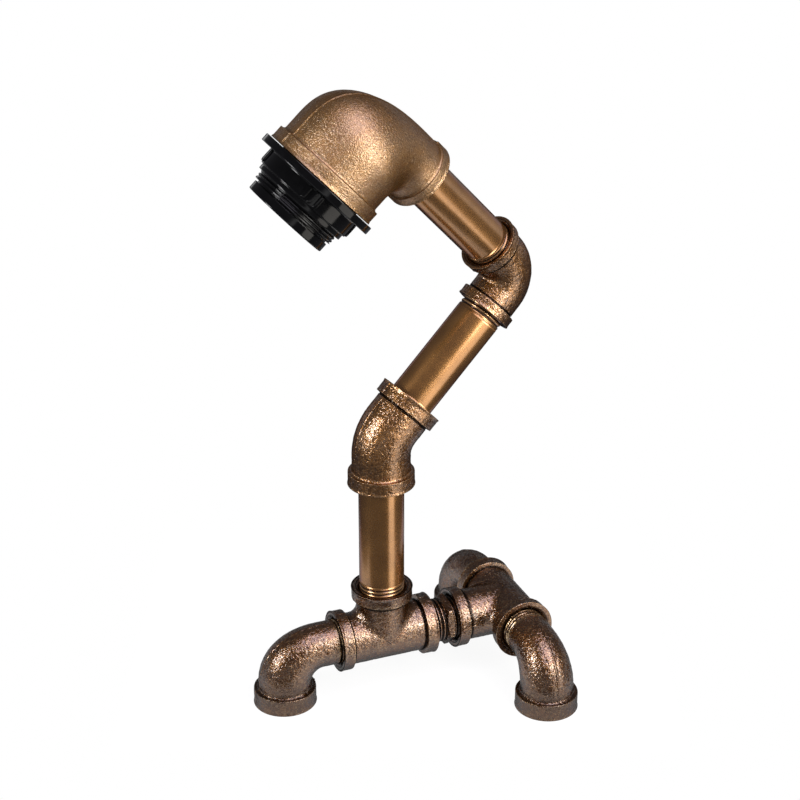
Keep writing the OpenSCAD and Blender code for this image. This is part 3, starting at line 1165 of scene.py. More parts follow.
def casting_loop(
    path: Path,
    outer: list[Knot],
    inner: list[Knot],
    relief: Relief,
    columns: int,
    step: float = ROW_STEP,
    crowd: float = 0.55,
    thread_end: float = 0.0,
) -> Skin:
    """Hollow casting along a path: its outside from one end to the other, and back through the bore.

    Args:
        path: way of the casting.
        outer: knots of the outside, radii as offsets from the body.
        inner: knots of the inside, from the far end back, radii as they are.
        relief: the casting's skin.
        columns: points round each ring.
        step: distance between rows outside; inside it is three times that.
        crowd: how close the columns stand at the seams.
        thread_end: place where a male thread at the path's start ends, or 0 for none.

    Returns:
        The skin, with rubbed bright thread crests and roots painted dark as shade.
    """
    # Thread roots are painted near black as shade; crests are rubbed bright.
    crest_below, bright, dark = 0.22, 1.8, -0.9
    out_rows, in_rows = profile(outer, step), profile(inner, step * 3)
    rows, n_out = joined(out_rows, in_rows), len(out_rows.s)
    rings = path.rings(rows.s)
    theta = ring_angles(columns, crowd)
    threaded = ((out_rows.s > THREAD_START) & (out_rows.s < thread_end))[:, None]
    cut = thread_cut(out_rows.s, theta, PIPE.pitch, PIPE.thread_depth) * threaded
    radius = rows.r[:, None] + np.zeros((1, columns))
    radius[:n_out] += rings.body[:n_out, None]
    radius[:n_out] -= cut
    wear = rows.wear[:, None] + np.zeros((1, columns))
    wear[n_out:] = 0
    wear[:n_out] += threaded * np.where(cut < crest_below, bright, dark)
    ridge = relief.ridge(theta[None], radius)
    ridge[n_out:] = 0
    skin = Skin()
    skin.loop(ring_points(rings, radius, theta), rows.grain, wear, relief, ridge)
    return skin


@dataclass
class StreetElbow:
    """Foot: a cast elbow with its mouth down on the table and its male end along +X.

    Shows is the length of thread that stays out of the tee.
    """

    seed: int
    shows: float
    body_r: float = 12.2
    neck_r: float = 10.4
    band_r: float = 14.3
    band_w: float = 7.8
    band_fillet: float = 1.5
    fillet: float = 4.5
    power: float = 2.1
    side: float = 24.2
    reach: float = 24.9
    columns: int = 260

    def skin(self) -> Skin:
        """Male end, fanned bend and foot band in one closed loop.

        Returns:
            The skin, in the foot's own frame.
        """
        male = PIPE.socket_depth
        path = FanBend(self.neck_r, self.body_r, self.power, self.fillet, self.side + male, self.reach)
        mouth = Mouth(
            self.body_r,
            self.band_r,
            self.band_w,
            self.band_fillet,
            shoulder=0.8,
            rim=0.6,
            chamfer=PIPE.foot_chamfer,
        )
        small = PIPE.pipe_r - self.neck_r
        end = male + self.shows
        outer = [
            Knot(0, PIPE.bore_r + 0.3 - self.neck_r, grain=0),
            Knot(0, small - 0.5, 0.3, grain=0),
            Knot(THREAD_START, small, 0.3, grain=0),
            Knot(end, small, grain=0),
            Knot(end + 0.5, 0, 0.3, wear=1.4, grain=0.4),
            Knot(end + 2.1, 0),
            *from_far_end(mouth.outside()[::-1], path.length),
        ]
        inner = [*from_far_end(mouth.inside(), path.length), Knot(0, PIPE.bore_r, grain=0)]
        return casting_loop(path, outer, inner, Relief(self.seed), self.columns, thread_end=end + 0.2)


@dataclass
class Elbow:
    """Cast elbow with a banded socket at each end; its first mouth looks down -Z.

    Fillets are those behind the first and the last band, and shade_reach is how far painted shade spreads
    behind the last.
    """

    seed: int
    turn_deg: float
    reach: float
    bend_r: float
    body_r: float
    band_r: float
    band_w: float
    fillets: tuple[float, float]
    shade_reach: float = 0.8
    columns: int = 300

    def skin(self) -> Skin:
        """One closed loop: outside from mouth to mouth, and back through the bore.

        Returns:
            The skin, in the elbow's own frame.
        """
        path = RoundBend(self.turn_deg, self.reach, self.bend_r, self.body_r)
        first = Mouth(self.body_r, self.band_r, self.band_w, self.fillets[0])
        last = Mouth(self.body_r, self.band_r, self.band_w, self.fillets[1], shoulder=0.35, shade_reach=self.shade_reach)
        outer = [*first.outside(), *from_far_end(last.outside()[::-1], path.length)]
        inner = [*from_far_end(last.inside(), path.length), *reversed(first.inside())]
        return casting_loop(path, outer, inner, Relief(self.seed), self.columns)


@dataclass
class Tee:
    """Cast tee with its run along X and its branch up Z. Both bodies have the same radius.

    The face shades tell how dark the run's and the branch's mouth faces are painted as shade, and
    branch_shade_reach how far that painted shade spreads behind the branch's band.
    """

    seed: int
    branch_reach: float
    run_reach: float
    body_r: float = 12.0
    band_r: float = 14.0
    band_w: float = 5.3
    crotch: float = 4.2
    groove_fillet: float = 0.6
    # Negative face values paint the mouths' faces dark as shade.
    run_face_shade: float = -0.9
    branch_face_shade: float = -0.9
    branch_shade_reach: float = 1.4
    columns: int = 256

    def skin(self) -> Skin:
        """The run and the branch, two closed loops that meet in the crotch fillet.

        Returns:
            The skin, in the tee's own frame.
        """
        relief = Relief(self.seed)
        mouth = Mouth(
            self.body_r, self.band_r, self.band_w, self.groove_fillet, shoulder=0.4, face=self.run_face_shade
        )
        path = StraightPath(-self.run_reach, 2 * self.run_reach, self.body_r)
        outer = [*mouth.outside(), *from_far_end(mouth.outside()[::-1], path.length)]
        inner = [*from_far_end(mouth.inside(), path.length), *reversed(mouth.inside())]
        skin = casting_loop(path, outer, inner, relief, self.columns)
        skin.place(turn("Y", 90))
        self.add_branch(skin, replace(mouth, face=self.branch_face_shade, shade_reach=self.branch_shade_reach), relief)
        return skin

    def add_branch(self, skin: Skin, mouth: Mouth, relief: Relief) -> None:
        """Adds the branch, whose foot runs out in a fillet on the run.

        Formula: at angle t round the branch its foot meets the run at the height h = sqrt(R^2 - (r sin t)^2).
        The fillet has the radius k = crotch |cos t| and lies in the plane of constant y: from (x, h + k) by
        x + k (1 - cos b) outwards and h + k (1 - sin b) for b from 0 to a right angle.

        Args:
            skin: takes the branch.
            mouth: the branch's mouth.
            relief: the casting's skin.
        """
        crowd, wall_rows, arc_rows, sink, sunk_by = 0.3, 40, 18, 0.94, 0.8
        theta = ring_angles(self.columns, crowd)
        out_rows = profile(mouth.outside(), ROW_STEP)
        bore_end = Knot(self.branch_reach - 5, PIPE.bore_r, grain=0)
        in_rows = profile([*mouth.inside(), bore_end], 3 * ROW_STEP)
        x, y = self.body_r * np.cos(theta), self.body_r * np.sin(theta)
        height = np.sqrt(np.maximum(self.body_r**2 - y**2, 0))
        k = self.crotch * np.abs(np.cos(theta))
        way = np.sign(np.cos(theta))

        def grid(across: np.ndarray, along: np.ndarray, up: np.ndarray) -> np.ndarray:
            """Points of three coordinates, each given for rows, columns or both."""
            return np.stack(np.broadcast_arrays(across, along, up), -1)

        def ring(radius: np.ndarray, z: np.ndarray) -> np.ndarray:
            """Rows of circles of the given radii and heights."""
            return grid(radius[:, None] * np.cos(theta), radius[:, None] * np.sin(theta), z[:, None])

        head = ring(self.body_r + out_rows.r, self.branch_reach - out_rows.s)
        z_top = self.branch_reach - out_rows.s[-1]
        part = np.linspace(0, 1, wall_rows)[1:, None]
        wall = grid(x, y, z_top + part * (height + k - z_top))
        b = np.linspace(0, math.pi / 2, arc_rows)[1:, None]
        arc = grid(x + way * k * (1 - np.cos(b)), y, height + k * (1 - np.sin(b)))
        sunk = arc[-1:] * np.array([1, sink, sink])
        sunk[..., 0] += way * sunk_by
        bore = ring(in_rows.r, self.branch_reach - in_rows.s)[::-1]
        points = np.concatenate([head, wall, arc, sunk, bore])
        grain = np.concatenate([out_rows.grain, np.ones(len(wall) + len(arc) + 1), in_rows.grain[::-1]])
        wear = np.concatenate([out_rows.wear, np.zeros(len(points) - len(out_rows.wear))])
        ridge = relief.ridge(theta[None], np.linalg.norm(points[..., :2], axis=-1))
        ridge[len(head) + len(wall) :] = 0
        skin.loop(points, grain, wear, relief, ridge)


def threaded_tube(
    start: float, rows: Rows, weight: np.ndarray, columns: int, crest: float, root: float
) -> Skin:
    """Smooth tube up Z with the pipe's thread cut in it.

    Args:
        start: height of the rows' place 0.
        rows: the whole closed profile.
        weight: share of the thread's depth in each row.
        columns: points round each ring.
        crest: rubbed colour on the thread's crests.
        root: value in the thread's roots; a negative one paints shade there.

    Returns:
        The skin.
    """
    crest_below = 0.12
    theta = ring_angles(columns)
    cut = thread_cut(rows.s, theta, PIPE.pitch, PIPE.thread_depth) * weight[:, None]
    points = ring_points(StraightPath(start, 1.0, 0.0).rings(rows.s), rows.r[:, None] - cut, theta)
    wear = weight[:, None] * np.where(cut < crest_below, crest, root)
    skin = Skin()
    skin.tube(points, -cut / PIPE.thread_depth, wear)
    return skin


def tip_faded(s: np.ndarray, length: float) -> np.ndarray:
    """Share of a thread's depth that the chamfered tips leave at the places s of a pipe."""
    return ease(s, 0.5, 1.2) * (1 - ease(s, length - 1.2, length - 0.5))


@dataclass
class Pipe:
    """Lacquered pipe up Z between two heights, threaded where it enters its fittings.

    Low_turns and high_turns are the turns of thread that show outside the fittings, or hide inside them if
    negative.
    """

    start: float
    end: float
    low_turns: float
    high_turns: float
    columns: int = 160
    thread_step: float = 0.16
    shaft_step: float = 1.0
    end_step: float = 0.3

    def skin(self) -> Skin:
        """Outside with the threads at both ends, and back through the bore.

        Returns:
            The skin, in the arm's own frame.
        """
        length = self.end - self.start
        r, bore = PIPE.pipe_r, PIPE.bore_r
        tip = length - THREAD_START
        low = PIPE.socket_depth + self.low_turns * PIPE.pitch
        high = length - PIPE.socket_depth - self.high_turns * PIPE.pitch
        rows = joined(
            profile([Knot(0, bore + 0.2), Knot(0, r - 0.6), Knot(THREAD_START, r)], self.end_step),
            profile([Knot(THREAD_START, r), Knot(low + 0.6, r)], self.thread_step),
            profile([Knot(low + 0.6, r), Knot(high - 0.6, r)], self.shaft_step),
            profile([Knot(high - 0.6, r), Knot(tip, r)], self.thread_step),
            profile([Knot(tip, r), Knot(length, r - 0.6), Knot(length, bore + 0.2)], self.end_step),
        )
        back = profile([Knot(length, bore), Knot(0, bore)], BORE_STEP)
        weight = (1 - ease(rows.s, low - 0.5, low + 0.5)) + ease(rows.s, high - 0.5, high + 0.5)
        weight *= tip_faded(rows.s, length)
        weight = np.append(weight, np.zeros(len(back.s)))
        return threaded_tube(self.start, joined(rows, back), weight, self.columns, 0.4, 0.0)


@dataclass
class HexNipple:
    """Threaded nipple up Z with a hexagon, between the two tees. Z = 0 is the front tee's face."""

    shows: float = 10.8
    hex_w: float = 3.6
    hex_af: float = 21.0
    hex_back: float = 1.4
    hex_turn: float = 45.0
    columns: int = 180
    step: float = 0.2
    hex_step: float = 0.12

    def skin(self) -> Skin:
        """Threads on both sides of a hexagon whose corners are turned off at 30 degrees.

        Returns:
            The skin, in the nipple's own frame.
        """
        length = self.shows + 2 * PIPE.socket_depth
        r, bore = PIPE.pipe_r, PIPE.bore_r
        tip = length - THREAD_START
        body = profile(
            [
                Knot(0, bore + 0.2),
                Knot(0, r - 0.5),
                Knot(THREAD_START, r),
                Knot(tip, r),
                Knot(length, r - 0.5),
                Knot(length, bore + 0.2),
            ],
            self.step,
        )
        back = profile([Knot(length, bore), Knot(0, bore)], BORE_STEP)
        weight = np.append(tip_faded(body.s, length), np.zeros(len(back.s)))
        # The nipple's thread roots are painted near black as shade, its crests a little dark.
        skin = threaded_tube(-PIPE.socket_depth, joined(body, back), weight, self.columns, -0.15, -0.9)
        self.add_hexagon(skin)
        return skin

    def add_hexagon(self, skin: Skin) -> None:
        """Adds the hexagon, dark all over but for its rubbed corners.

        Formula: its radius at angle t is (af / 2) / cos(((t - turn) mod 60) - 30), cut off by a cone of 30
        degrees from both faces.

        Args:
            skin: takes the hexagon.
        """
        corner_band, rubbed, dark, cone_inset = 28.6, 0.57, -0.33, 0.15
        start = self.shows - self.hex_back - self.hex_w
        end = start + self.hex_w
        low = PIPE.pipe_r - 1.2
        theta = ring_angles(self.columns)
        folded = (np.degrees(theta) - self.hex_turn) % 60 - 30
        flat = self.hex_af / 2 / np.cos(np.radians(folded))
        corner = self.hex_af / 2 / math.cos(math.radians(30))
        rows = profile(
            [Knot(start, low), Knot(start, corner, 0.1), Knot(end, corner, 0.1), Knot(end, low)],
            self.hex_step,
        )
        depth = np.minimum(rows.s - start, end - rows.s)
        crown = self.hex_af / 2 - cone_inset + np.maximum(depth, 0) * math.tan(math.radians(60))
        limit = np.minimum(rows.r[:, None], np.minimum(flat[None], crown[:, None]))
        points = ring_points(StraightPath(0, 1.0, 0.0).rings(rows.s), limit, theta)
        edge = (np.abs(limit - flat[None]) < 1e-6) & (np.abs(folded)[None] > corner_band)
        skin.tube(points, np.zeros((1, 1)), np.where(edge, rubbed, dark))


@dataclass
class HeadElbow:
    """Large reducing elbow: neck down -Z on the upper pipe, mouth towards -X round the holder."""

    seed: int = 71
    neck_r: float = 14.1
    mouth_r: float = 24.1
    power: float = 2.7
    fillet: float = 2.6
    wall: float = 3.2
    small_reach: float = 34.8
    large_reach: float = 28.8
    small_band_r: float = 15.0
    small_band_w: float = 4.6
    large_band_r: float = 25.8
    large_band_w: float = 5.8
    holder_r: float = 19.65
    hollow_rows: int = 30
    columns: int = 312
    row_step: float = 0.46
    crowd: float = 0.5

    def skin(self) -> Skin:
        """One closed loop: neck band, swelling bend, mouth band, and back through the hollow.

        Returns:
            The skin, in the head's own frame.
        """
        path = FanBend(self.neck_r, self.mouth_r, self.power, self.fillet, self.small_reach, self.large_reach)
        neck = Mouth(self.neck_r, self.small_band_r, self.small_band_w, 0.75, shoulder=0.4)
        mouth = Mouth(
            self.mouth_r,
            self.large_band_r,
            self.large_band_w,
            1.0,
            shoulder=0.5,
            socket_r=self.holder_r,
            chamfer=0.3,
        )
        length = path.length
        outer = [*neck.outside(), *from_far_end(mouth.outside()[::-1], length)]
        bend_end = path.neck_leg + path.arc
        hollow = np.linspace(bend_end, path.neck_leg, self.hollow_rows)[1:-1]
        room = np.minimum(path.rings(hollow).body - self.wall, self.holder_r)
        inner = [
            Knot(length, self.holder_r + 0.3, grain=0),
            Knot(length - 0.3, self.holder_r, grain=0),
            Knot(bend_end + 0.5, self.holder_r, grain=0),
            *(Knot(float(at), float(radius), grain=0) for at, radius in zip(hollow, room)),
            *reversed(neck.inside()),
        ]
        relief = Relief(self.seed, coarse=1.5, fine=0.8, height=0.02, seam=0.3, seam_w=0.5)
        return casting_loop(path, outer, inner, relief, self.columns, self.row_step, self.crowd)


@dataclass
class Holder:
    """Black shell of the lampholder along the lamp's axis, with its outer thread and plain end collar."""

    thread_r: float = 19.6
    wall: float = 2.0
    back: float = 17.0
    end: float = 49.6
    end_r: float = 18.7
    end_l: float = 3.8
    lip: float = 1.6
    opening_r: float = 13.7
    pitch: float = 1.5
    thread_depth: float = 0.75
    thread_sharp: float = 0.8
    columns: int = 200
    step: float = 0.2
    wear_reach: float = 0.35

    def skin(self) -> Skin:
        """Outside with the screw thread, the neck groove and the end collar, then back down the inside.

        Returns:
            The skin, in the holder's own frame.
        """
        neck = self.end - self.end_l
        inner_r = self.thread_r - self.wall
        outer = [
            Knot(self.back, inner_r + 0.2),
            Knot(self.back, self.thread_r, 0.2),
            Knot(neck - 0.9, self.thread_r, 0.1),
            Knot(neck - 0.8, self.end_r - 1.0, 0.1),
            Knot(neck - 0.1, self.end_r - 1.0, 0.1),
            Knot(neck, self.end_r, 0.25, wear=0.7),
            Knot(self.end, self.end_r, 0.5, wear=1.0),
            Knot(self.end, self.opening_r + 0.4, 0.3, wear=0.3),
            Knot(self.end - self.lip, self.opening_r, 0.1),
            Knot(self.end - self.lip - 0.05, self.end_r - self.wall),
            Knot(neck, self.end_r - self.wall),
            Knot(neck - self.lip, inner_r),
            Knot(self.back, inner_r),
        ]
        rows = profile(outer, self.step, self.wear_reach)
        theta = ring_angles(self.columns)
        band = (rows.r > inner_r + 0.3) & (rows.s > self.back + 0.6) & (rows.s < neck - 1.0)
        cut = thread_cut(rows.s, theta, self.pitch, self.thread_depth, self.thread_sharp) * band[:, None]
        points = ring_points(StraightPath(0, 1.0, 0.0).rings(rows.s), rows.r[:, None] - cut, theta)
        skin = Skin()
        skin.tube(points, -cut / self.thread_depth, rows.wear[:, None])
        return skin


@dataclass
class ShadeRing:
    """Black flanged ring that screws along the holder and clamps a shade, with groups of grip ribs."""

    start: float = 29.1
    flange_r: float = 27.6
    flange_t: float = 3.3
    collar_r: float = 21.9
    collar_l: float = 8.8
    bore_r: float = 19.65
    rib_groups: int = 4
    ribs_each: int = 3
    rib_w: float = 1.8
    rib_out: float = 0.8
    rib_l: float = 6.2
    rib_step: float = 8.0
    rib_phase: float = 30.0
    rib_sunk: float = 0.3
    rib_power: float = 5.0
    columns: int = 240
    step: float = 0.3

    def skin(self) -> Skin:
        """Turned ring with a stepped collar, and rounded ribs set on it.

        Returns:
            The skin, in the holder's own frame.
        """
        skin = Skin()
        top = self.flange_t + self.collar_l
        knots = [
            Knot(0, self.bore_r),
            Knot(0, self.flange_r, 0.35, wear=0.6),
            Knot(self.flange_t, self.flange_r, 0.4, wear=1.0),
            Knot(self.flange_t, self.collar_r, 0.5),
            Knot(top - 2.3, self.collar_r, 0.3, wear=0.8),
            Knot(top - 2.2, self.collar_r - 0.9, 0.2),
            Knot(top, self.collar_r - 0.9, 0.3, wear=0.9),
            Knot(top, self.bore_r + 0.7, 0.2),
            Knot(top - 0.7, self.bore_r, 0.1),
        ]
        skin.lathe(knots, self.start, self.columns, self.step)
        half = np.array([self.rib_out / 2 + self.rib_sunk, self.rib_w / 2, self.rib_l / 2])
        for group in range(self.rib_groups):
            for rib in range(self.ribs_each):
                aside = (rib - (self.ribs_each - 1) / 2) * self.rib_step
                spin = turn("Z", self.rib_phase + 360 * group / self.rib_groups + aside)[:3, :3]
                middle = spin @ np.array([self.collar_r + self.rib_out / 2 - self.rib_sunk, 0, 0])
                middle[2] = self.start + self.flange_t + self.rib_l / 2 - 0.2
                skin.pill(middle, half, self.rib_power, spin)
        return skin


@dataclass
class LampScrewShell:
    """Thin screw shell that takes the lamp's cap, with its rolled thread."""

    inner_r: float = 13.3
    sheet: float = 0.4
    start: float = 24.0
    end: float = 48.0
    floor_r: float = 11.3
    pitch: float = 3.63
    roll: float = 0.9
    columns: int = 128
    step: float = 0.3

    def skin(self) -> Skin:
        """Sheet whose two sides both wave by roll (sin(2 pi (z / pitch - angle / 2 pi)) - 1) / 2.

        Returns:
            The skin, in the holder's own frame.
        """
        outer_r, floor_z = self.inner_r + self.sheet, self.start + self.sheet
        outside = [Knot(self.start, self.floor_r), Knot(self.start, outer_r, 0.3), Knot(self.end, outer_r)]
        inside = [Knot(self.end, self.inner_r), Knot(floor_z, self.inner_r, 0.3), Knot(floor_z, self.floor_r)]
        rows = joined(profile(outside, self.step), profile(inside, self.step))
        theta = ring_angles(self.columns)
        wave = (np.sin(2 * math.pi * (rows.s[:, None] / self.pitch - theta[None] / (2 * math.pi))) - 1) / 2
        weight = ease(rows.s, self.start + 2.5, self.start + 4)
        weight = weight * (1 - ease(rows.s, self.end - 2, self.end - 0.8))
        radius = rows.r[:, None] + wave * self.roll * weight[:, None]
        skin = Skin()
        flat = np.zeros((1, 1))
        skin.tube(ring_points(StraightPath(0, 1.0, 0.0).rings(rows.s), radius, theta), flat, flat)
        return skin


# Sub-assemblies


@dataclass
class SubAssembly:
    """Pieces that ride on one body, and the materials they are dressed with."""

    materials: dict[Look, bpy.types.Material]
    body: ClassVar[str]

    def build(self) -> None:
        """Builds and dresses the pieces."""
        raise NotImplementedError

    def put(self, skin: Skin, name: str, place: np.ndarray, node: str, slot: str, look: Look) -> None:
        """Writes a piece of this body from its skin, placed in millimetres, for a node of the model."""
        skin.piece(name, place, self.body, node, self.materials[look])

    def put_pipe(self, pipe: Pipe, where: str, place: np.ndarray) -> None:
        """Writes the pipe of an arm, named for where it is."""
        self.put(pipe.skin(), f"{where}_pipe_lacquered", place, f"{where}_pipe", "pipe", Look.PIPE)


@dataclass
class Base(SubAssembly):
    """Three feet, two tees and the nipple between them, on the table."""

    body: ClassVar[str] = "base"
    front_shows: float = 0.4
    rear_shows: float = 4.2
    front_branch: float = 24.3
    rear_branch: float = 27.3
    # Slight painted shade on the rear tee's run faces.
    rear_run_face_shade: float = -0.1
    run_reach: float = 22.7

    def build(self) -> None:
        """Builds and dresses the six pieces."""
        tip = turn("Y", -90)
        near_side = shift(LAYOUT.rear_x, -LAYOUT.rear_foot_y, LAYOUT.foot_reach) @ turn("Z", 90)
        far_side = shift(LAYOUT.rear_x, LAYOUT.rear_foot_y, LAYOUT.foot_reach) @ turn("Z", -90)
        front = shift(LAYOUT.mast_x, 0, LAYOUT.foot_reach)
        across = shift(LAYOUT.rear_x, 0, LAYOUT.foot_reach) @ turn("Z", 90) @ turn("X", -90) @ turn("Z", 180)
        nipple = shift(LAYOUT.mast_x + self.run_reach, 0, LAYOUT.foot_reach) @ turn("Y", 90)
        front_foot = StreetElbow(seed=11, shows=self.front_shows)
        near_foot = StreetElbow(seed=23, shows=self.rear_shows)
        far_foot = StreetElbow(seed=37, shows=self.rear_shows)
        front_tee = Tee(seed=41, branch_reach=self.front_branch, run_reach=self.run_reach)
        rear_tee = Tee(
            seed=53, branch_reach=self.rear_branch, run_reach=self.run_reach, run_face_shade=self.rear_run_face_shade
        )
        for shape, name, place, node in (
            (front_foot, "front_foot_casting", shift(0, 0, LAYOUT.foot_reach) @ tip, "front_foot_elbow"),
            (near_foot, "near_foot_casting", near_side @ tip, "near_foot_elbow"),
            (far_foot, "far_foot_casting", far_side @ tip, "far_foot_elbow"),
            (front_tee, "front_tee_casting", front, "front_tee"),
            (rear_tee, "rear_tee_casting", across, "rear_tee"),
            (HexNipple(), "nipple_with_hexagon", nipple, "hex_nipple"),
        ):
            self.put(shape.skin(), name, place, node, "cast_fitting", Look.BASE)


@dataclass
class Mast(SubAssembly):
    """Column pipe and the 45 degree elbow on it."""

    body: ClassVar[str] = "mast"
    seat: float = 0.3
    low_turns: float = 1.2
    high_turns: float = -0.6

    def build(self) -> None:
        """Builds and dresses both pieces."""
        start = LAYOUT.tee_rim_z - PIPE.socket_depth + self.seat
        end = LAYOUT.lower_z - LAYOUT.lower_reach + PIPE.socket_depth
        self.put_pipe(Pipe(start, end, self.low_turns, self.high_turns), "column", LAYOUT.mast())
        elbow = Elbow(
            seed=61,
            turn_deg=45,
            reach=LAYOUT.lower_reach,
            bend_r=19.0,
            body_r=13.2,
            band_r=15.0,
            band_w=6.2,
            fillets=(1.2, 0.3),
        )
        place = LAYOUT.mast() @ shift(0, 0, LAYOUT.lower_z)
        self.put(elbow.skin(), "lower_elbow_casting", place, "lower_elbow", "cast_fitting", Look.ARM)


@dataclass
class MiddleArm(SubAssembly):
    """Leaning pipe and the 90 degree elbow on it."""

    body: ClassVar[str] = "middle_arm"
    seat: float = 0.3
    low_turns: float = -0.6
    high_turns: float = 1.8

    def build(self) -> None:
        """Builds and dresses both pieces."""
        start = LAYOUT.lower_reach - PIPE.socket_depth + self.seat
        end = LAYOUT.middle_l - LAYOUT.upper_reach + PIPE.socket_depth
        self.put_pipe(Pipe(start, end, self.low_turns, self.high_turns), "middle", LAYOUT.middle())
        elbow = Elbow(
            seed=67,
            turn_deg=90,
            reach=LAYOUT.upper_reach,
            bend_r=12.6,
            body_r=11.6,
            band_r=13.2,
            band_w=4.6,
            fillets=(0.5, 0.5),
            shade_reach=1.6,
        )
        place = LAYOUT.middle() @ shift(0, 0, LAYOUT.middle_l) @ np.diag([-1.0, 1, 1, 1])
        self.put(elbow.skin(), "upper_elbow_casting", place, "upper_elbow", "cast_fitting", Look.ARM)


@dataclass
class HeadArm(SubAssembly):
    """Upper pipe, head elbow and the lampholder with its inner pieces."""

    body: ClassVar[str] = "head_arm"
    seat: float = 0.3
    low_turns: float = 0.7
    high_turns: float = -0.6
    tongue_middle: tuple[float, float, float] = (8.5, 0.0, 23.0)
    tongue_half: tuple[float, float, float] = (2.2, 1.5, 0.4)
    tongue_power: float = 8.0
    button_columns: int = 64
    button_step: float = 0.25

    def build(self) -> None:
        """Builds the pieces and gives the three plain nodes their finish."""
        start = LAYOUT.upper_reach - PIPE.socket_depth + self.seat
        end = LAYOUT.upper_l - LAYOUT.head_small_reach + PIPE.socket_depth
        self.put_pipe(Pipe(start, end, self.low_turns, self.high_turns), "upper", LAYOUT.upper())
        head = HeadElbow().skin()
        self.put(head, "head_elbow_casting", LAYOUT.head(), "head_elbow", "head_casting", Look.HEAD)
        mouth = LAYOUT.mouth()
        self.put(Holder().skin(), "holder_moulding", mouth, "holder_shell", "holder_black", Look.HOLDER)
        for shell, name, node in (
            (LampScrewShell().skin(), "lamp_screw_shell", "screw_shell"),
            (self.button(), "centre_contact_button", "centre_contact"),
            (self.tongue(), "side_contact_tongue", "side_contact"),
        ):
            self.put(shell, name, mouth, node, "contact_brass", Look.BRASS)
        self.dress("holder_cap", Look.CAP)
        self.dress("contact_carrier", Look.CERAMIC)
        self.dress("terminal_screws", Look.ZINC)

    def button(self) -> Skin:
        """Centre contact: a shank with a domed head.

        Returns:
            The skin, in the holder's own frame.
        """
        knots = [
            Knot(19.6, 0.05),
            Knot(19.6, 1.45, 0.1),
            Knot(22.6, 1.45),
            Knot(22.6, 4.0, 0.2),
            Knot(23.3, 3.6, 0.4),
            Knot(23.8, 1.5, 0.5),
            Knot(23.8, 0.05),
        ]
        skin = Skin()
        skin.lathe(knots, 0.0, self.button_columns, self.button_step)
        return skin

    def tongue(self) -> Skin:
        """Side contact: a rounded tongue of sheet.

        Returns:
            The skin, in the holder's own frame.
        """
        skin = Skin()
        skin.pill(np.array(self.tongue_middle), np.array(self.tongue_half), self.tongue_power, np.eye(3))
        return skin

    def dress(self, node: str, look: Look) -> None:
        """Gives a node of the model its finish.

        Args:
            node: the node's name.
            look: its finish.
        """
        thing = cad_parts[node]
        thing.data.materials.clear()
        thing.data.materials.append(self.materials[look])
        LOG.info("%s: finished as %s", node, self.materials[look].name)


@dataclass
class ClampRing(SubAssembly):
    """The shade ring on its own body."""

    body: ClassVar[str] = "shade_ring"

    def build(self) -> None:
        """Builds and dresses the ring."""
        ring = ShadeRing().skin()
        self.put(ring, "shade_clamp_ring", LAYOUT.mouth(), "shade_ring", "holder_black", Look.HOLDER)


# Studio


class Panel(Enum):
    """Soft lamps of the studio.

    Azimuth (0 is the front, 90 the right), elevation, distance, width, height, radiance and colour.
    """

    KEY = (30.0, 1.0, 0.65, 0.34, 1.0, 2.0, "#FFF9F0")
    KEY_CORE = (24.0, 19.0, 0.5, 0.2, 0.24, 10.0, "#FFFCF6")
    LEFT = (-82.0, 22.0, 0.9, 0.24, 0.32, 21.0, "#FFFFFF")
    OVERHEAD = (20.0, 62.0, 1.0, 0.8, 0.8, 4.0, "#EEE6F8")


@dataclass(frozen=True)
class WhitePaper(Finish):
    """Smooth white paper of the table: for eye, gloss and glass mostly plain white, and lit paper otherwise.

    The share that stays lit paper keeps the lamp's shadow.
    """

    name: str = "white_paper"
    paper: str = "#F4F4F4"
    white_share: float = 0.88
    white_level: float = 1.06

    def shader(self, tree: bpy.types.NodeTree) -> Socket:
        """Blends lit paper with plain white by the kind of ray.

        Args:
            tree: the material's node tree.

        Returns:
            The shader's socket.
        """
        add = partial(add_node, tree)
        seen = add(Kind.LARGER, add(Kind.LARGER, add(Kind.EYE), add(Kind.GLOSS)), add(Kind.GLASS))
        share = add(Kind.PRODUCT, seen, self.white_share)
        paper = add(Kind.DIFFUSE, linear(self.paper))
        return add(Kind.BLEND, share, paper, add(Kind.GLOW, WHITE, self.white_level))


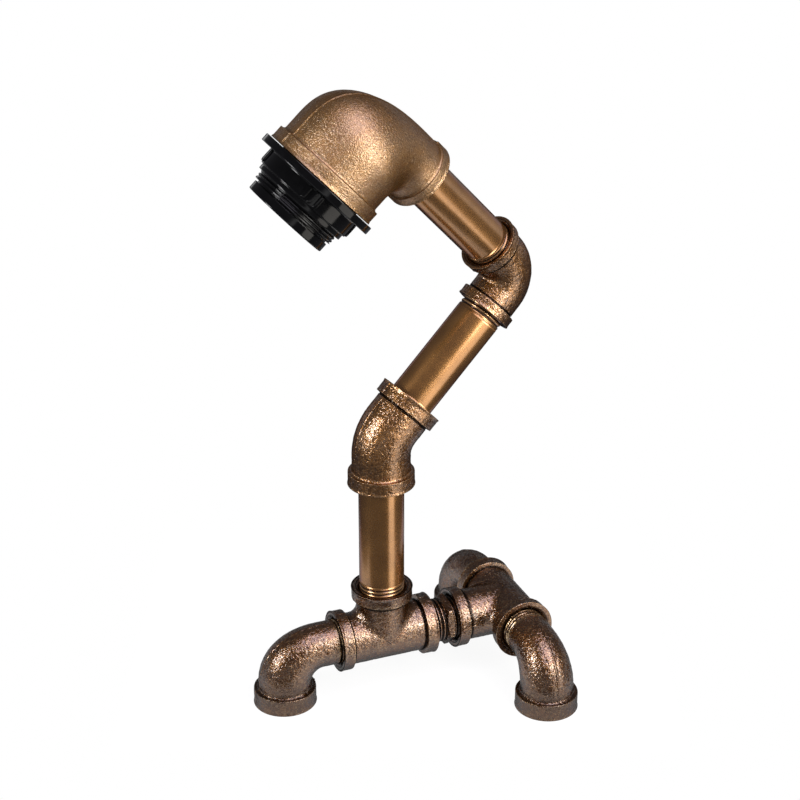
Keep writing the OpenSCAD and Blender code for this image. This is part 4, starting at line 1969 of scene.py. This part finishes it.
@dataclass(frozen=True)
class Studio:
    """Small white table, pale backdrop near the horizon, soft lamps and the camera. Sizes are in metres.

    The table ends just beyond the lamp's feet, so it shows in few reflections. The backdrop's white comes in
    and goes out between two heights each, which are sines of the elevation.
    """

    target: tuple[float, float, float] = (0.05574, 0.0, 0.13873)
    azimuth: float = -21.79
    elevation: float = 24.0
    distance: float = 0.75765
    lens: float = 79.17
    sensor: float = 36.0
    clip_start: float = 0.01
    table_front: float = 0.06
    table_depth: float = 0.2
    table_half_w: float = 0.125
    table_gap: float = 0.0002
    table_cells: int = 32
    room: str = "#5A5A5E"
    white_comes: tuple[float, float] = (-0.06, 0.0)
    white_goes: tuple[float, float] = (0.02, 0.16)

    def build(self) -> None:
        """Builds floor, world, lamps and camera."""
        self.floor()
        self.world()
        for panel in Panel:
            self.lamp(panel)
        self.camera()
        bpy.context.scene.view_settings.view_transform = "Standard"

    def away(self, azimuth: float, elevation: float, distance: float) -> Vector:
        """Point seen from the target.

        Args:
            azimuth: degrees, 0 the front and 90 the right.
            elevation: degrees above the horizon.
            distance: metres.

        Returns:
            The point.
        """
        a, e = math.radians(azimuth), math.radians(elevation)
        way = Vector((math.sin(a) * math.cos(e), -math.cos(a) * math.cos(e), math.sin(e)))
        return Vector(self.target) + way * distance

    def aim(self, thing: bpy.types.Object) -> None:
        """Turns an object so that it looks at the target."""
        way = Vector(self.target) - thing.location
        thing.rotation_euler = way.to_track_quat("-Z", "Y").to_euler()

    def show(self, name: str, data: bpy.types.ID) -> bpy.types.Object:
        """Puts an object with the given data into the scene.

        Args:
            name: the object's name.
            data: its mesh, lamp or camera.

        Returns:
            The new object.
        """
        thing = bpy.data.objects.new(name, data)
        bpy.context.scene.collection.objects.link(thing)
        return thing

    def lamp(self, panel: Panel) -> None:
        """Adds a soft panel. Its power is pi x area x radiance, so a mirror shows it at that brightness.

        Args:
            panel: which one.
        """
        azimuth, elevation, distance, width, height, radiance, tint = panel.value
        data = bpy.data.lights.new(f"{panel.name.lower()}_panel", "AREA")
        data.shape = "RECTANGLE"
        data.size, data.size_y = width, height
        data.energy = radiance * math.pi * width * height
        data.color = linear(tint)[:3]
        thing = self.show(data.name, data)
        thing.location = self.away(azimuth, elevation, distance)
        self.aim(thing)
        LOG.info("%s: %.1f W", data.name, data.energy)

    def camera(self) -> None:
        """Camera at the photograph's angle, for a square picture."""
        data = bpy.data.cameras.new("camera")
        data.sensor_width = self.sensor
        data.lens = self.lens
        data.clip_start = self.clip_start
        thing = self.show("camera", data)
        thing.location = self.away(self.azimuth, self.elevation, self.distance)
        self.aim(thing)
        bpy.context.scene.camera = thing

    def floor(self) -> None:
        """White table top.

        Formula: target + across u + back v, with v growing as a square from the front edge to the far end.
        """
        n = self.table_cells
        turned = math.radians(self.azimuth)
        across = np.array([math.cos(turned), math.sin(turned), 0])
        back = np.array([-math.sin(turned), math.cos(turned), 0])
        u = np.linspace(-1, 1, n + 1)[:, None, None] * self.table_half_w
        v = np.linspace(0, 1, n + 1)[None, :, None] ** 2 * self.table_depth - self.table_front
        points = np.array([self.target[0], 0, -self.table_gap]) + across * u + back * v
        corner = (np.arange(n)[:, None] * (n + 1) + np.arange(n)).ravel()
        quads = np.stack([corner, corner + n + 1, corner + n + 2, corner + 1], -1)
        mesh = bpy.data.meshes.new("floor")
        mesh.from_pydata(points.reshape(-1, 3).tolist(), [], quads.tolist())
        mesh.update()
        mesh.materials.append(WhitePaper().material())
        self.show("floor", mesh)

    def world(self) -> None:
        """Backdrop: white for the eye, for gloss and glass white near the horizon, else a dim room."""
        world = bpy.data.worlds.new("studio")
        bpy.context.scene.world = world
        world.use_nodes = True
        world.node_tree.nodes.clear()
        add = partial(add_node, world.node_tree)
        up = add(Kind.UPWARD, add(Kind.DIRECTION))
        band = add(
            Kind.PRODUCT,
            add(Kind.SPAN, up, *self.white_goes, 1.0, 0.0),
            add(Kind.SPAN, up, *self.white_comes, 0.0, 1.0),
        )
        near = add(Kind.PRODUCT, add(Kind.LARGER, add(Kind.GLOSS), add(Kind.GLASS)), band)
        white = add(Kind.LARGER, add(Kind.EYE), near)
        colour = add(Kind.COLOUR, white, linear(self.room), WHITE)
        add(Kind.WORLD, add(Kind.SKY, colour, 1.0))


def main() -> None:
    """Builds the lamp sub-assembly by sub-assembly, then the studio."""
    logging.basicConfig(level=logging.INFO, format="%(name)s: %(message)s")
    materials = {look: look.value.material() for look in Look}
    for kind in (Base, Mast, MiddleArm, HeadArm, ClampRing):
        LOG.info("building %s", kind.__name__)
        kind(materials).build()
    Studio().build()


if __name__ == "__main__":
    main()
